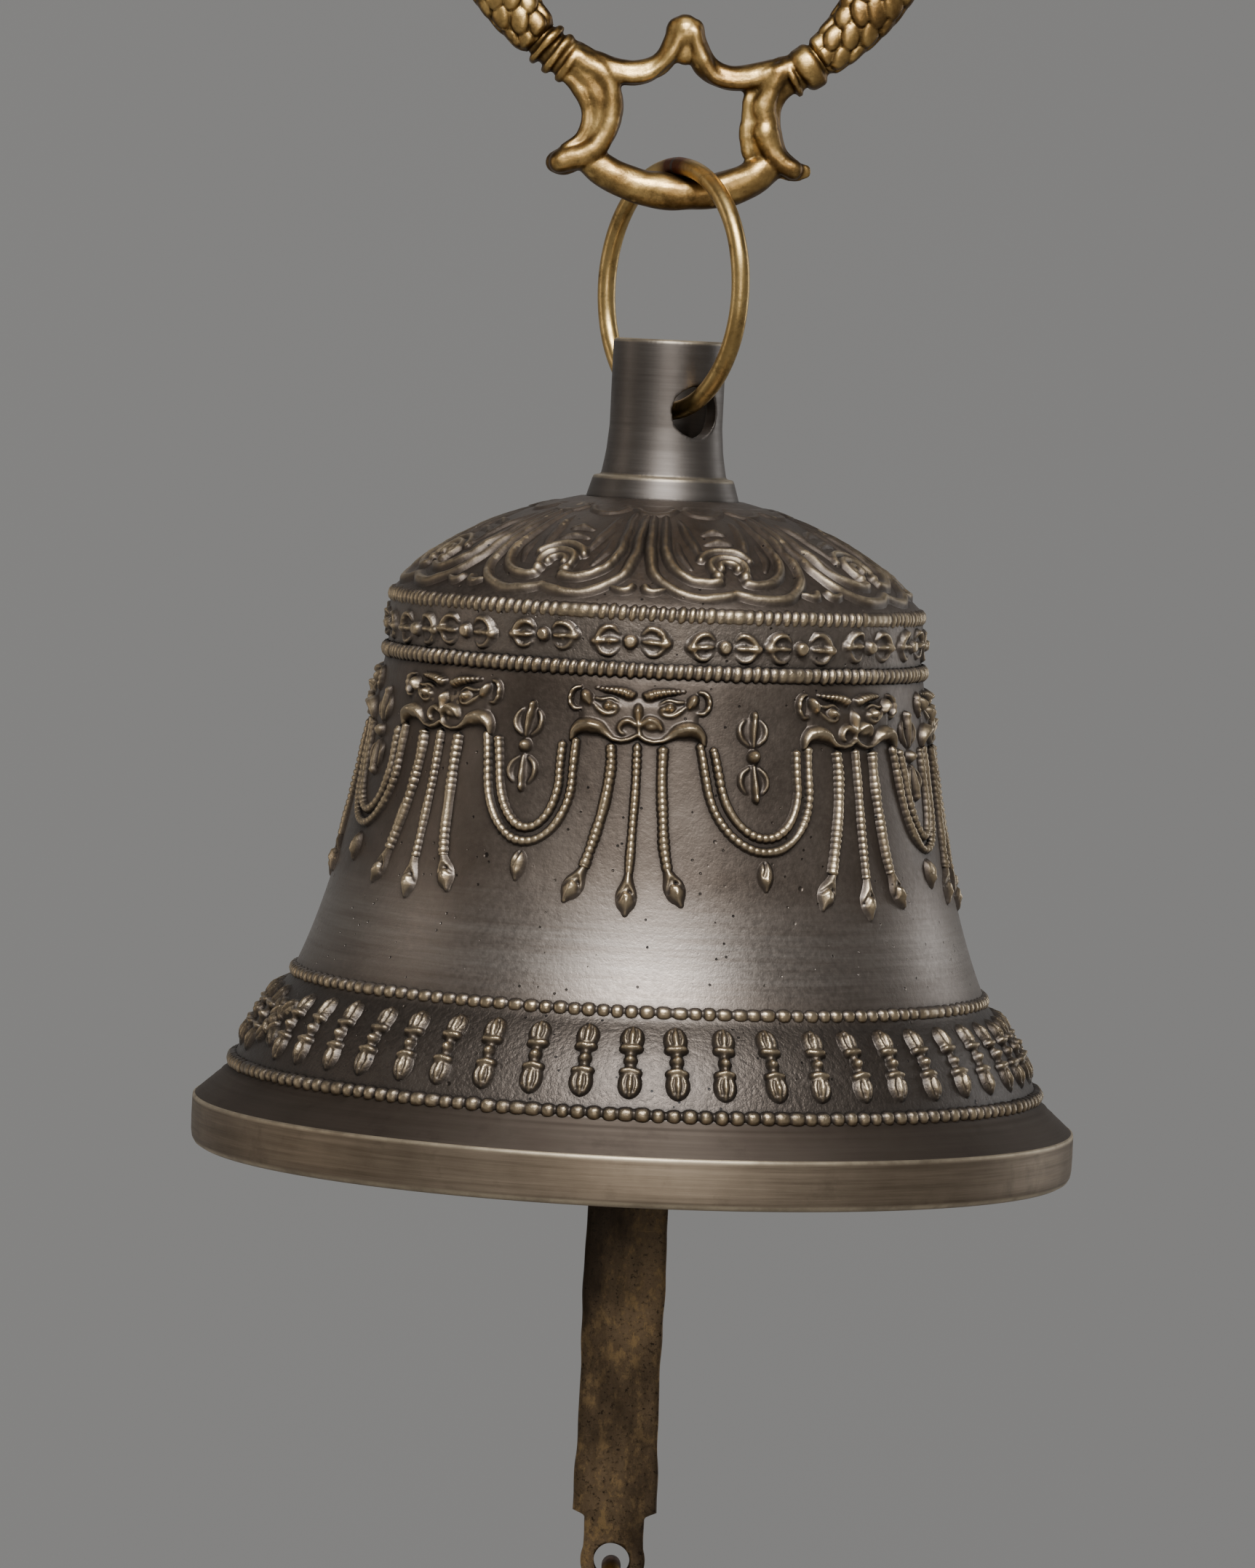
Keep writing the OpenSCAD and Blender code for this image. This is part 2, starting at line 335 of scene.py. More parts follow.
class Relief:
    """Collects height-field patches on the bell into one mesh."""

    def __init__(self, step, soft=0.17):
        self.step, self.soft = step, soft
        self.points, self.faces, self.high, self.count = [], [], [], 0

    def add(self, field, theta, s, half_u, half_v, seed=0, tilt=0.0, size=1.0, shake=0.1, gain=1.0):
        """field(U, V) in mm about a centre at angle theta (degrees) and profile length s."""
        nu, nv = (int(2 * h / self.step) + 1 for h in (half_u, half_v))
        u, v = np.linspace(-half_u, half_u, nu), np.linspace(-half_v, half_v, nv)
        U, V = np.meshgrid(u, v, indexing="xy")
        c, sn = math.cos(math.radians(tilt)), math.sin(math.radians(tilt))
        Ur, Vr = (U * c + V * sn) / size, (-U * sn + V * c) / size
        Ur = Ur + shake * wobble(seed * 3 + 1, 2.6, U, V)
        Vr = Vr + shake * wobble(seed * 3 + 2, 2.6, U, V)
        H = np.maximum(field(Ur, Vr), -0.10)
        H = soften(H, self.soft / self.step)
        edge = np.minimum(half_u - np.abs(U), half_v - np.abs(V))
        H = np.where(edge < 0.4, np.minimum(H, -0.05), H)
        worn = 1 + 0.16 * wobble(seed * 3 + 3, 3.0, U, V) + 0.06 * wobble(seed * 3 + 4, 1.0, U, V)
        H = np.where(H > 0, H * worn * gain, H)
        self.push(math.radians(theta), s, U, V, H)

    def push(self, theta, s, U, V, H):
        """Lays a height grid on the wall and keeps only the faces that stand out of it."""
        at = s - V
        r, _ = outside_at(at)
        place = on_bell(theta + U / r, at, H - 0.03)
        rows, columns = H.shape
        quads = grid_faces(rows, columns)
        quads = quads[(H > -0.06).ravel()[quads].any(axis=1)]
        used = np.unique(quads)
        lookup = np.full(H.size, -1)
        lookup[used] = np.arange(len(used)) + self.count
        self.points.append(place.reshape(-1, 3)[used])
        self.high.append(H.ravel()[used])
        self.faces.append(lookup[quads])
        self.count += len(used)

    def build(self, name):
        """Makes the mesh of all patches laid so far."""
        high = np.clip(np.concatenate(self.high), -0.1, 2.0)
        make_mesh(name, np.vstack(self.points), np.vstack(self.faces), BRONZE, "bell",
                  values={"relief": high}, closed=False)


# ---------------------------------------------------------------- materials


class Paint:
    """The nodes of one procedural look. Factors are 0 to 1 and colours are linear RGB."""

    def __init__(self, tree):
        self.tree = tree

    def node(self, kind, **values):
        """A new node with its sockets and settings filled in."""
        n = self.tree.nodes.new(kind)
        for key, value in values.items():
            if key in n.inputs.keys():
                self.put(value, n.inputs[key])
            else:
                setattr(n, key, value)
        return n

    def put(self, value, socket):
        """Sets a socket to a number or a colour, or wires another node's output to it."""
        if isinstance(value, bpy.types.NodeSocket):
            self.tree.links.new(value, socket)
        elif isinstance(value, tuple) and socket.type == "RGBA":
            socket.default_value = (*value, 1)
        else:
            socket.default_value = value

    def span(self, value, low, high, to_low=0.0, to_high=1.0):
        """A value's stretch from low to high, mapped onto another stretch."""
        n = self.node("ShaderNodeMapRange")
        for socket, number in zip(n.inputs, (value, low, high, to_low, to_high)):
            self.put(number, socket)
        return n.outputs["Result"]

    def maths(self, operation, a, b=0.0, clamp=False):
        """The result of a maths node; clamp keeps it within 0 to 1."""
        n = self.node("ShaderNodeMath", operation=operation, use_clamp=clamp)
        self.put(a, n.inputs[0])
        self.put(b, n.inputs[1])
        return n.outputs["Value"]

    def times(self, a, b, clamp=False):
        return self.maths("MULTIPLY", a, b, clamp)

    def plus(self, a, b, clamp=False):
        return self.maths("ADD", a, b, clamp)

    def without(self, a, zone, share):
        """a, less a share of itself in the zone."""
        return self.times(a, self.maths("SUBTRACT", 1.0, self.times(zone, share)))

    def blend(self, factor, a, b):
        """Colour a where the factor is 0 and b where it is 1."""
        n = self.node("ShaderNodeMix", data_type="RGBA")
        for socket, value in zip((n.inputs[0], n.inputs[6], n.inputs[7]), (factor, a, b)):
            self.put(value, socket)
        return n.outputs[2]

    def part(self, vector, axis):
        """One of the X, Y and Z of a vector."""
        return self.node("ShaderNodeSeparateXYZ", Vector=vector).outputs[axis]


class Surface(Paint):
    """A material in the object's own coordinates, in metres."""

    def __init__(self, name):
        self.material = bpy.data.materials.new(name)
        self.material.use_nodes = True
        super().__init__(self.material.node_tree)
        self.shader = self.tree.nodes["Principled BSDF"]
        self.places = self.node("ShaderNodeTexCoord").outputs
        self.coords = self.places["Object"]
        self.geometry = self.node("ShaderNodeNewGeometry").outputs

    def noise(self, scale, detail=4.0, rough=0.55, stretch=(1, 1, 1)):
        """A noise value 0 to 1; scale is per metre."""
        place = self.node("ShaderNodeMapping", Vector=self.coords, Scale=stretch).outputs["Vector"]
        return self.node("ShaderNodeTexNoise", Vector=place, Scale=scale, Detail=detail,
                         Roughness=rough).outputs["Fac"]

    def attribute(self, name):
        """A mesh's own value by name."""
        return self.node("ShaderNodeAttribute", attribute_name=name).outputs["Fac"]

    def occlusion(self, distance):
        """1 in the open, less in hollows; distance is in mm."""
        return self.node("ShaderNodeAmbientOcclusion", Distance=distance * MM, samples=6).outputs["AO"]

    def depth(self):
        """Millimetres below the neck's top."""
        return self.maths("SUBTRACT", NECK_TOP, self.times(self.part(self.coords, "Z"), 1 / MM))

    def zone(self, low, high, edge):
        """1 between two depths, 0 outside."""
        depth = self.depth()
        below, above = self.span(depth, low - edge, low + edge), self.span(depth, high + edge, high - edge)
        return self.times(below, above)

    def pits(self, scale, size_mm, share):
        """1 in small scattered casting pits."""
        pits = self.node("ShaderNodeTexVoronoi", Vector=self.coords, Scale=scale, Randomness=1.0)
        reach = size_mm * MM * scale
        pick = self.span(self.noise(scale * 0.22, 2.0, 0.5), share, share + 0.08)
        return self.times(self.span(pits.outputs["Distance"], reach, reach * 0.45), pick)

    def finish(self, colour, metallic, roughness, *bumps, **more):
        """Wires the shader; bumps are (height value, strength, distance in mm), one on top of another."""
        values = {"Base_Color": colour, "Metallic": metallic, "Roughness": roughness, **more}
        for key, value in values.items():
            self.put(value, self.shader.inputs[key.replace("_", " ")])
        for height, strength, distance in bumps:
            n = self.node("ShaderNodeBump", Strength=strength, Distance=distance * MM, Height=height)
            if self.shader.inputs["Normal"].links:
                self.put(self.shader.inputs["Normal"].links[0].from_socket, n.inputs["Normal"])
            self.put(n.outputs["Normal"], self.shader.inputs["Normal"])
        return self.material


def bronze_material(name):
    """Dark patinated bronze, worn to brass on raised parts, grime and painted shade in the hollows."""
    m = Surface(name)
    blotch = m.noise(42.0, 6.0, 0.62)
    medium = m.noise(260.0, 5.0, 0.65)
    grit = m.noise(1150.0, 3.0, 0.6)
    fine = m.noise(3200.0, 2.0, 0.5)
    relief = m.attribute("relief")
    pointy = m.geometry["Pointiness"]
    near = m.occlusion(1.1)
    wide = m.occlusion(4.0)
    streak = m.noise(26.0, 5.0, 0.72, stretch=(1, 1, 30))
    waist = m.zone(94.0, 109.0, 5.0)
    # ground
    ground = m.blend(m.span(blotch, 0.34, 0.66), (0.113, 0.083, 0.062), (0.198, 0.156, 0.124))
    ground = m.blend(m.span(medium, 0.35, 0.75, 0.0, 0.35), ground, (0.060, 0.042, 0.030))
    polished = m.blend(m.span(streak, 0.30, 0.72), (0.170, 0.135, 0.109), (0.272, 0.232, 0.198))
    ground = m.blend(waist, ground, polished)
    low_band = m.zone(112.0, 127.0, 0.6)
    high_band = m.zone(45.5, 55.5, 0.5)
    bands = m.plus(high_band, low_band)
    ground = m.blend(m.times(high_band, 0.45), ground, (0.265, 0.222, 0.184))
    ground = m.blend(m.times(low_band, 0.62), ground, (0.044, 0.036, 0.030))
    shoulder = m.zone(20.0, 44.5, 1.0)
    ground = m.blend(m.times(shoulder, 0.36), ground, (0.050, 0.038, 0.030))
    body = m.zone(58.0, 90.0, 4.0)
    ground = m.blend(m.times(body, 0.34), ground, (0.048, 0.036, 0.028))
    # grime and painted shade: the ground goes near black where ambient occlusion finds relief close by
    grime_and_shade = m.plus(m.times(m.span(near, 0.96, 0.50), 0.80),
                 m.times(m.span(wide, 0.90, 0.40), 0.55), clamp=True)
    grime_and_shade = m.times(grime_and_shade, m.span(relief, 0.9, 0.35, 0.2, 1.0))
    ground = m.blend(grime_and_shade, ground, (0.014, 0.011, 0.009))
    # worn tops
    flank = m.span(relief, 0.30, 0.80)
    ridge = m.times(m.span(pointy, 0.52, 0.585, 0.0, 0.8), m.span(relief, 0.25, 0.5))
    worn = m.maths("SUBTRACT", relief, m.times(low_band, 0.22))
    crest = m.plus(m.span(worn, 0.60, 1.30), ridge)
    crest = m.times(crest, m.span(grit, 0.25, 0.52, 0.55, 1.1))
    crest = m.times(crest, m.span(wide, 0.35, 0.85, 0.35, 1.0), clamp=True)
    crest = m.without(crest, low_band, 0.25)
    crest = m.without(crest, shoulder, 0.22)
    crest = m.without(crest, body, 0.22)
    colour = m.blend(m.times(flank, 0.65), ground, (0.140, 0.104, 0.068))
    brass = m.blend(m.span(blotch, 0.3, 0.7), (0.42, 0.312, 0.188), (0.62, 0.485, 0.312))
    colour = m.blend(crest, colour, brass)
    pit = m.pits(150.0, 0.50, 0.43)
    pit2 = m.pits(420.0, 0.26, 0.41)
    holes = m.maths("MAXIMUM", pit, pit2)
    holes = m.times(holes, m.span(relief, 0.6, 0.2))
    colour = m.blend(m.times(holes, 0.85), colour, (0.018, 0.013, 0.010))
    rough = m.span(blotch, 0.3, 0.7, 0.40, 0.50)
    rough = m.plus(rough, m.span(grit, 0.3, 0.7, -0.05, 0.07))
    rough = m.maths("SUBTRACT", rough, m.times(crest, 0.12))
    rough = m.maths("SUBTRACT", rough, m.times(waist, 0.05))
    rough = m.plus(rough, m.times(grime_and_shade, 0.22))
    rough = m.plus(rough, m.times(shoulder, 0.05))
    rugged = m.times(grit, m.plus(m.times(bands, 0.75), 0.40))
    uneven = m.without(medium, waist, 0.85)
    rugged = m.without(rugged, waist, 0.5)
    sunk = m.times(holes, -1.0)
    return m.finish(colour, 0.93, rough, (sunk, 0.9, 0.35), (uneven, 0.35, 0.16), (rugged, 0.7, 0.20),
                    (fine, 0.3, 0.05), (streak, 0.10, 0.10), Coat_Weight=0.22, Coat_Roughness=0.42)


def brushed_material(name, dark, light, rough_low, rough_high, lines, contrast=1.0, edges=()):
    """Lathe-turned metal: fine lines run round the axis and stretch the highlights across them.

    edges are depths at which a turned edge is rubbed to brass."""
    m = Surface(name)
    blotch = m.noise(38.0, 5.0, 0.6)
    cloud = m.noise(130.0, 5.0, 0.65)
    line = m.noise(22.0, 5.0, 0.75, stretch=(1, 1, lines / 6))
    fine = m.noise(60.0, 3.0, 0.7, stretch=(1, 1, lines / 6))
    mix = m.plus(m.span(line, 0.3, 0.7, -0.25 * contrast, 0.25 * contrast),
                m.span(blotch, 0.3, 0.7, 0.2, 0.75), clamp=True)
    colour = m.blend(mix, dark, light)
    colour = m.blend(m.span(cloud, 0.55, 0.8, 0.0, 0.5), colour, tuple(0.55 * c for c in dark))
    for depth in edges:
        edge = m.times(m.zone(depth - 0.35, depth + 0.35, 0.25),
                     m.span(cloud, 0.35, 0.6, 0.35, 0.9))
        colour = m.blend(edge, colour, (0.62, 0.51, 0.36))
    # painted shade: the colour goes dark where ambient occlusion finds a hollow
    open_sky = m.occlusion(1.5)
    colour = m.blend(m.span(open_sky, 0.9, 0.4, 0.0, 0.8), colour, (0.03, 0.025, 0.02))
    tangent = m.node("ShaderNodeTangent", direction_type="RADIAL", axis="Z").outputs["Tangent"]
    return m.finish(colour, 0.97, m.span(fine, 0.25, 0.75, rough_low, rough_high), (fine, 0.12, 0.05),
                    (cloud, 0.08, 0.10), Anisotropic=0.38, Anisotropic_Rotation=0.25, Tangent=tangent)


def brass_material(name, deep, mid, high, rough=0.3, mottled=0.0, rubbed=0.0):
    """Golden brass with dark residue and painted shade in its recesses; rubbed is how much residue its edges
    keep.
    """
    m = Surface(name)
    blotch = m.noise(110.0, 6.0, 0.65)
    patch = m.noise(330.0, 5.0, 0.7)
    fine = m.noise(1500.0, 3.0, 0.6)
    pointy = m.geometry["Pointiness"]
    open_sky = m.occlusion(2.5)
    colour = m.blend(m.span(blotch, 0.35, 0.65), mid, high)
    spots = m.span(patch, 0.48, 0.66, 0.0, 0.35 + mottled)
    colour = m.blend(spots, colour, deep)
    facing = m.maths("ABSOLUTE", m.part(m.places["Normal"], "Y"))
    facing = m.plus(facing, m.span(blotch, 0.3, 0.7, -0.22, 0.22))
    unrubbed = m.span(facing, 0.93, 0.42, 0.0, rubbed)
    colour = m.blend(unrubbed, colour, tuple(0.24 * a + 0.9 * b for a, b in zip(mid, deep)))
    # dark residue and painted shade: concave places and places that ambient occlusion finds hidden go to the
    # deep colour
    hollow = m.plus(m.span(pointy, 0.492, 0.43), m.span(open_sky, 0.92, 0.45), clamp=True)
    colour = m.blend(m.times(hollow, 0.90), colour, deep)
    edge = m.span(pointy, 0.52, 0.60)
    colour = m.blend(m.times(edge, 0.6), colour, high)
    roughness = m.plus(m.span(patch, 0.3, 0.7, rough - 0.04, rough + 0.12), m.times(hollow, 0.2))
    return m.finish(colour, 1.0, roughness, (blotch, 0.25, 0.5), (patch, 0.35, 0.25), (fine, 0.45, 0.06))


def bar_material(name):
    """Hammered strip: dark brown and golden patina in streaks and specks, with a few scratches; painted shade
    in its hollows and a painted shadow of the bell over its top.
    """
    m = Surface(name)
    big = m.noise(62.0, 6.0, 0.65, stretch=(1, 1, 0.4))
    patch = m.noise(420.0, 7.0, 0.80, stretch=(1, 1, 0.7))
    speck = m.noise(1300.0, 4.0, 0.75)
    scratch = m.noise(90.0, 2.0, 0.5, stretch=(0.35, 1, 22))
    pointy = m.geometry["Pointiness"]
    colour = m.blend(m.span(big, 0.38, 0.62), (0.060, 0.041, 0.026), (0.265, 0.182, 0.104))
    gold = m.times(m.span(patch, 0.50, 0.60), m.span(big, 0.38, 0.58))
    colour = m.blend(gold, colour, (0.42, 0.280, 0.130))
    dark = m.times(m.span(speck, 0.53, 0.64), m.span(patch, 0.56, 0.44), clamp=True)
    colour = m.blend(m.times(dark, 0.9), colour, (0.012, 0.009, 0.007))
    line = m.times(m.span(scratch, 0.70, 0.76), m.span(big, 0.42, 0.60, 0.0, 0.8))
    colour = m.blend(line, colour, (0.50, 0.33, 0.17))
    # painted shadow of the bell: the strip darkens towards the bell's mouth above it
    shade = m.span(m.depth(), 172.0, 155.0, 0.0, 0.68)
    colour = m.blend(shade, colour, (0.018, 0.013, 0.009))
    # painted shade: hollows that ambient occlusion or the mesh's concavity finds go nearly black
    sunk = m.span(m.occlusion(3.0), 0.90, 0.45, 0.0, 0.75)
    hollow = m.maths("MAXIMUM", sunk, m.span(pointy, 0.49, 0.45, 0.0, 0.7))
    colour = m.blend(hollow, colour, (0.014, 0.010, 0.007))
    edge = m.span(pointy, 0.53, 0.60)
    colour = m.blend(m.times(edge, 0.5), colour, (0.30, 0.21, 0.12))
    return m.finish(colour, 0.85, m.span(patch, 0.3, 0.7, 0.40, 0.60), (patch, 0.5, 0.25), (speck, 0.4, 0.08))


def ring_material(name):
    """Drawn brass wire, copper red by its brazed joint."""
    m = Surface(name)
    blotch = m.noise(120.0, 6.0, 0.65)
    patch = m.noise(500.0, 5.0, 0.7)
    fine = m.noise(2200.0, 3.0, 0.6)
    braze = m.attribute("braze")
    seam = m.attribute("seam")
    colour = m.blend(m.span(blotch, 0.35, 0.65), (0.42, 0.270, 0.100), (0.68, 0.470, 0.190))
    colour = m.blend(m.span(patch, 0.52, 0.70, 0.0, 0.65), colour, (0.12, 0.075, 0.032))
    red = m.times(m.span(braze, 0.08, 0.7), m.span(patch, 0.2, 0.5, 0.7, 1.0), clamp=True)
    colour = m.blend(red, colour, (0.16, 0.062, 0.034))
    line = m.times(m.span(seam, 0.86, 0.98), 0.8)
    colour = m.blend(line, colour, (0.12, 0.12, 0.11))
    roughness = m.plus(m.span(patch, 0.3, 0.7, 0.28, 0.42), m.times(red, 0.12))
    return m.finish(colour, 1.0, roughness, (patch, 0.25, 0.15), (fine, 0.25, 0.05))


def steel_material(name):
    """Dull turned steel with a few specks of rust."""
    m = Surface(name)
    blotch = m.noise(180.0, 5.0, 0.6)
    fine = m.noise(1500.0, 4.0, 0.6)
    colour = m.blend(m.span(blotch, 0.35, 0.65), (0.30, 0.29, 0.275), (0.42, 0.41, 0.39))
    colour = m.blend(m.span(fine, 0.55, 0.72, 0.0, 0.7), colour, (0.16, 0.10, 0.065))
    return m.finish(colour, 1.0, m.span(blotch, 0.3, 0.7, 0.34, 0.5), (fine, 0.35, 0.06))


BRONZE = bronze_material("bell_bronze")
RIM_METAL = brushed_material("brushed_rim", (0.134, 0.098, 0.066), (0.350, 0.272, 0.194), 0.48, 0.62,
                             300.0, 1.15, (133.35, 141.1))
NECK_METAL = brushed_material("brushed_neck", (0.106, 0.088, 0.075), (0.196, 0.171, 0.150), 0.45, 0.56,
                              260.0, 0.8, (0.15, 23.7))
BEVEL_METAL = brushed_material("turned_bevel", (0.074, 0.055, 0.042), (0.126, 0.099, 0.078), 0.60, 0.70,
                               330.0, 0.7)
GOLD = brass_material("cast_brass", (0.036, 0.018, 0.007), (0.40, 0.232, 0.080), (0.78, 0.515, 0.190), 0.36,
                      0.25, 0.95)
WIRE = brass_material("wire_brass", (0.09, 0.055, 0.025), (0.46, 0.32, 0.14), (0.62, 0.46, 0.22))
INSIDE_METAL = brass_material("cast_inside", (0.030, 0.024, 0.019), (0.10, 0.075, 0.05), (0.16, 0.12, 0.08),
                              0.5, 0.3)
BAR_METAL = bar_material("hammered_bar")
RING_METAL = ring_material("ring_brass")
STEEL = steel_material("dull_steel")


# ---------------------------------------------------------------- the bell casting


def bell_shell():
    """The bell as one closed surface: cast outside, turned bevel and rim, inside wall, crown hole."""
    wall, turns = 3.4, 384
    T, S = np.meshgrid(round_turns(turns), np.linspace(0, OUTSIDE_S[-3], 118), indexing="xy")
    parts = [(on_bell(T, S, 0.0), BRONZE)]
    # the bevel between the cast wall and the rim, with a few tool lines
    bevel = [[69.9, 127.7], [70.5, 128.6], [71.0, 128.98], [71.35, 129.18], [71.6, 129.53], [72.3, 130.14],
             [72.6, 130.36], [72.9, 130.67], [73.8, 131.46], [74.1, 131.7], [74.4, 131.98], [75.2, 132.7],
             [RIM_R - 0.46, 133.08]]
    rim = [[RIM_R - 0.42, 133.12], [RIM_R - 0.22, 133.2], [RIM_R - 0.06, 133.35], [RIM_R, 133.7],
           [RIM_R + 0.03, 137], [RIM_R - 0.02, 139.4], [RIM_R - 0.2, 140.5], [RIM_R - 0.6, 141.2],
           [RIM_R - 1.3, MOUTH_H], [72.4, MOUTH_H], [71.3, MOUTH_H - 0.3], [70.8, MOUTH_H - 1.0]]
    inner = np.vstack([
        bezier([70.6, MOUTH_H - 1.3], [66.6, 127], [59.4 - wall + 0.8, 113.4], 12),
        bezier([59.4 - wall, 111.5], [51.5 - wall, 92], [46.4 - wall, 51], 16),
        dome_arc(DOME_R - 3.4, 41, 16, 12),
        [[14.4, 31], [3.05, 31], [3.05, 27.6]],
    ])
    parts.append((revolved(spaced(np.array(bevel), 0.5), turns), BEVEL_METAL))
    parts.append((revolved(spaced(np.array(rim), 0.5), turns), RIM_METAL))
    parts.append((revolved(spaced(inner, 3.2), turns, ripple=0.14, seed=9, solid=14), INSIDE_METAL))
    verts = np.vstack([points for points, _ in parts])
    faces = grid_faces(len(verts), turns, wrap_rows=True, wrap_columns=True)
    piece = make_mesh("bell_casting", verts.reshape(-1, 3), faces, BRONZE, "bell",
                      replaces=("bell_shell",))
    for _, metal in parts[1:]:
        piece.data.materials.append(metal)
    which = np.repeat(np.arange(4), [len(points) for points, _ in parts])
    piece.data.polygons.foreach_set("material_index", np.repeat(which, turns).astype(np.int32))


def beaded_roll(name, centre_r, depth, tall, deep, count, seed, worn, narrow, floor, slant=0.0):
    """A row of beads as one roll round the bell; beads differ and merge where worn.

    narrow above 1 pulls the beads apart, floor is the roll's size between them, slant leans them."""
    rng = np.random.default_rng(seed)
    per, sides = 9, 12
    widths = rng.uniform(0.88, 1.12, count)
    edges = np.concatenate([[0], np.cumsum(widths)]) / widths.sum() * 2 * math.pi
    sizes = rng.uniform(0.92, 1.06, count)
    shift = rng.normal(0, 0.03, count) * tall
    x = (np.arange(per) + 0.5) / per * 2 - 1
    low, high_edge = edges[:-1, None], edges[1:, None]
    theta = (low + (high_edge - low) * (x[None] + 1) / 2).ravel()
    across, back = np.sin(theta) * centre_r, np.cos(theta) * centre_r
    merged = np.clip(worn + 0.75 * wobble(seed + 5, 7.0, across, back), 0, 1) ** 2
    shape = np.sqrt(np.clip(1 - (np.abs(x) * narrow) ** 2.3, 0.0, 1))
    shape = np.tile(np.maximum(shape, floor), count)
    bead = np.repeat(sizes, per) * shape
    size = bead * (1 - 0.82 * merged) + 0.82 * merged * 0.93
    size = size * (1 + 0.03 * wobble(seed + 9, 0.8, across, back))
    lean = np.repeat(shift, per) * (1 - merged)
    P = round_turns(sides)[None]
    turn = theta[:, None] + slant / centre_r * np.sin(P) * size[:, None]
    lift = deep * size[:, None] * np.cos(P)
    r = centre_r + lift
    h = depth + tall * size[:, None] ** 0.55 * np.sin(P) + lean[:, None]
    verts = np.stack([r * np.sin(turn), -r * np.cos(turn), NECK_TOP - h], -1).reshape(-1, 3)
    high = np.clip((lift / deep - 0.30) * 1.6, -0.1, 1.4).ravel()
    faces = grid_faces(count * per, sides, wrap_rows=True, wrap_columns=True)
    make_mesh(name, verts, faces, BRONZE, "bell", values={"relief": high})


def bead_rows():
    """The four rows of beads that edge the upper and the lower band."""
    beaded_roll("bead_row_1", 45.1, 45.7, 1.55, 1.35, 171, 11, 0.42, 1.06, 0.70, slant=-0.25)
    beaded_roll("bead_row_2", 46.0, 55.1, 1.45, 1.25, 174, 12, 0.16, 1.06, 0.66, slant=-0.22)
    beaded_roll("bead_row_3", 59.3, 111.0, 1.25, 1.25, 147, 13, 0.30, 1.02, 0.45)
    beaded_roll("bead_row_4", 69.2, 127.0, 1.35, 1.45, 173, 14, 0.30, 1.02, 0.50)


# ---------------------------------------------------------------- motifs (millimetres, V up)


def vajra_field(U, V):
    """Upright vajra: ball, a thick middle prong and two thin bowed ones at each end."""
    parts = [blob(U, V, 0, 0, 1.3, 1.3, 1.45)]
    for end in (1, -1):
        W = V * end
        parts.append(blob(U, W, 0, 4.1, 2.3, 2.9, 0.22))
        parts.append(curve_stroke(U, W, [(-0.05, 1.7), (0.0, 3.5), (0.15, 5.4), (0.4, 7.3)],
                                  [0.40, 0.62, 0.75, 0.55], [0.7, 1.0, 1.1, 0.8]))
        parts.append(blob(U, W, 0.3, 6.9, 0.72, 0.85, 1.1))
        for side in (1, -1):
            parts.append(curve_stroke(U * side, W, [(0.9, 2.0), (1.95, 2.9), (2.35, 4.1), (2.15, 5.2),
                                                    (1.5, 6.1)], [0.45, 0.6, 0.62, 0.52, 0.35],
                                      [0.45, 0.75, 0.8, 0.65, 0.4]))
    return merge(*parts)


def groove(U, V, points, width, depth):
    """A rounded furrow to take away from a field."""
    return np.clip(curve_stroke(U, V, points, width, depth), 0, None)


def stout_vajra_field(U, V):
    """Closed vajra of the lower band: bud, ring, ball, ring, bud."""
    parts = [blob(U, V, 0, 0, 1.2, 1.15, 1.5), curve_stroke(U, V, [(0, -2.2), (0, 0), (0, 2.2)], 0.95, 0.8)]
    for end in (1, -1):
        W = V * end
        egg = merge(blob(U, W, 0, 4.15, 2.05, 2.65, 1.45),
                    curve_stroke(U, W, [(0, 4.5), (0, 6.3)], [1.3, 0.5], [1.2, 0.7]))
        egg = np.minimum(egg, 1.25)
        for side in (1, -1):
            egg = egg - groove(U * side, W, [(0.52, 3.2), (0.72, 4.3), (0.45, 5.6)], [0.28, 0.36, 0.24], 0.65)
        parts.append(egg)
        parts.append(curve_stroke(U, W, [(0, 3.1), (0, 4.6), (0, 6.1)], [0.36, 0.42, 0.3], [1.2, 1.45, 0.8]))
        parts.append(curve_stroke(U, W, [(-1.15, 2.2), (0, 2.05), (1.15, 2.2)], 0.82, [1.25, 1.5, 1.25]))
    return merge(*parts, soft=0.08)


def lying_vajra_field(U, V):
    """Horizontal vajra of the upper band: flat-topped ball, each end a claw about a knobbed bar."""
    parts = [np.minimum(blob(U, V, 0, 0, 1.35, 1.35, 2.0), 1.15)]
    for side, worn in ((1, 0.85), (-1, 1.0)):
        W = U * side
        parts.append(blob(W, V, 4.3, 0.0, 3.1, 2.5, 0.28))
        parts.append(curve_stroke(W, V, [(2.3, -0.05), (3.3, 0.0), (4.4, 0.0), (5.6, -0.05)],
                                  [0.5, 0.68, 0.58, 0.85], [0.8, 1.15, 0.95, 1.25]))
        parts.append(blob(W, V, 6.0, -0.05, 1.15, 1.0, 1.15))
        parts.append(curve_stroke(W, V, [(1.9, 1.3), (2.9, 2.25), (4.2, 2.2), (5.2, 1.5), (5.8, 0.5)],
                                  [0.35, 0.6, 0.68, 0.72, 0.7], [0.45, 0.9, 1.0, 0.95, 0.9]))
        parts.append(curve_stroke(W, V, [(2.2, -1.4), (3.3, -2.15), (4.6, -2.0), (5.6, -0.9)],
                                  [0.35, 0.55, 0.6, 0.6], [0.3 * worn, 0.7 * worn, 0.75 * worn, 0.7]))
    return merge(*parts)


def crossed_vajra_field(U, V):
    """Two vajras laid across each other."""
    return merge(stout_vajra_field(U, V), stout_vajra_field(V, U), blob(U, V, 0, 0, 2.0, 2.0, 1.5))


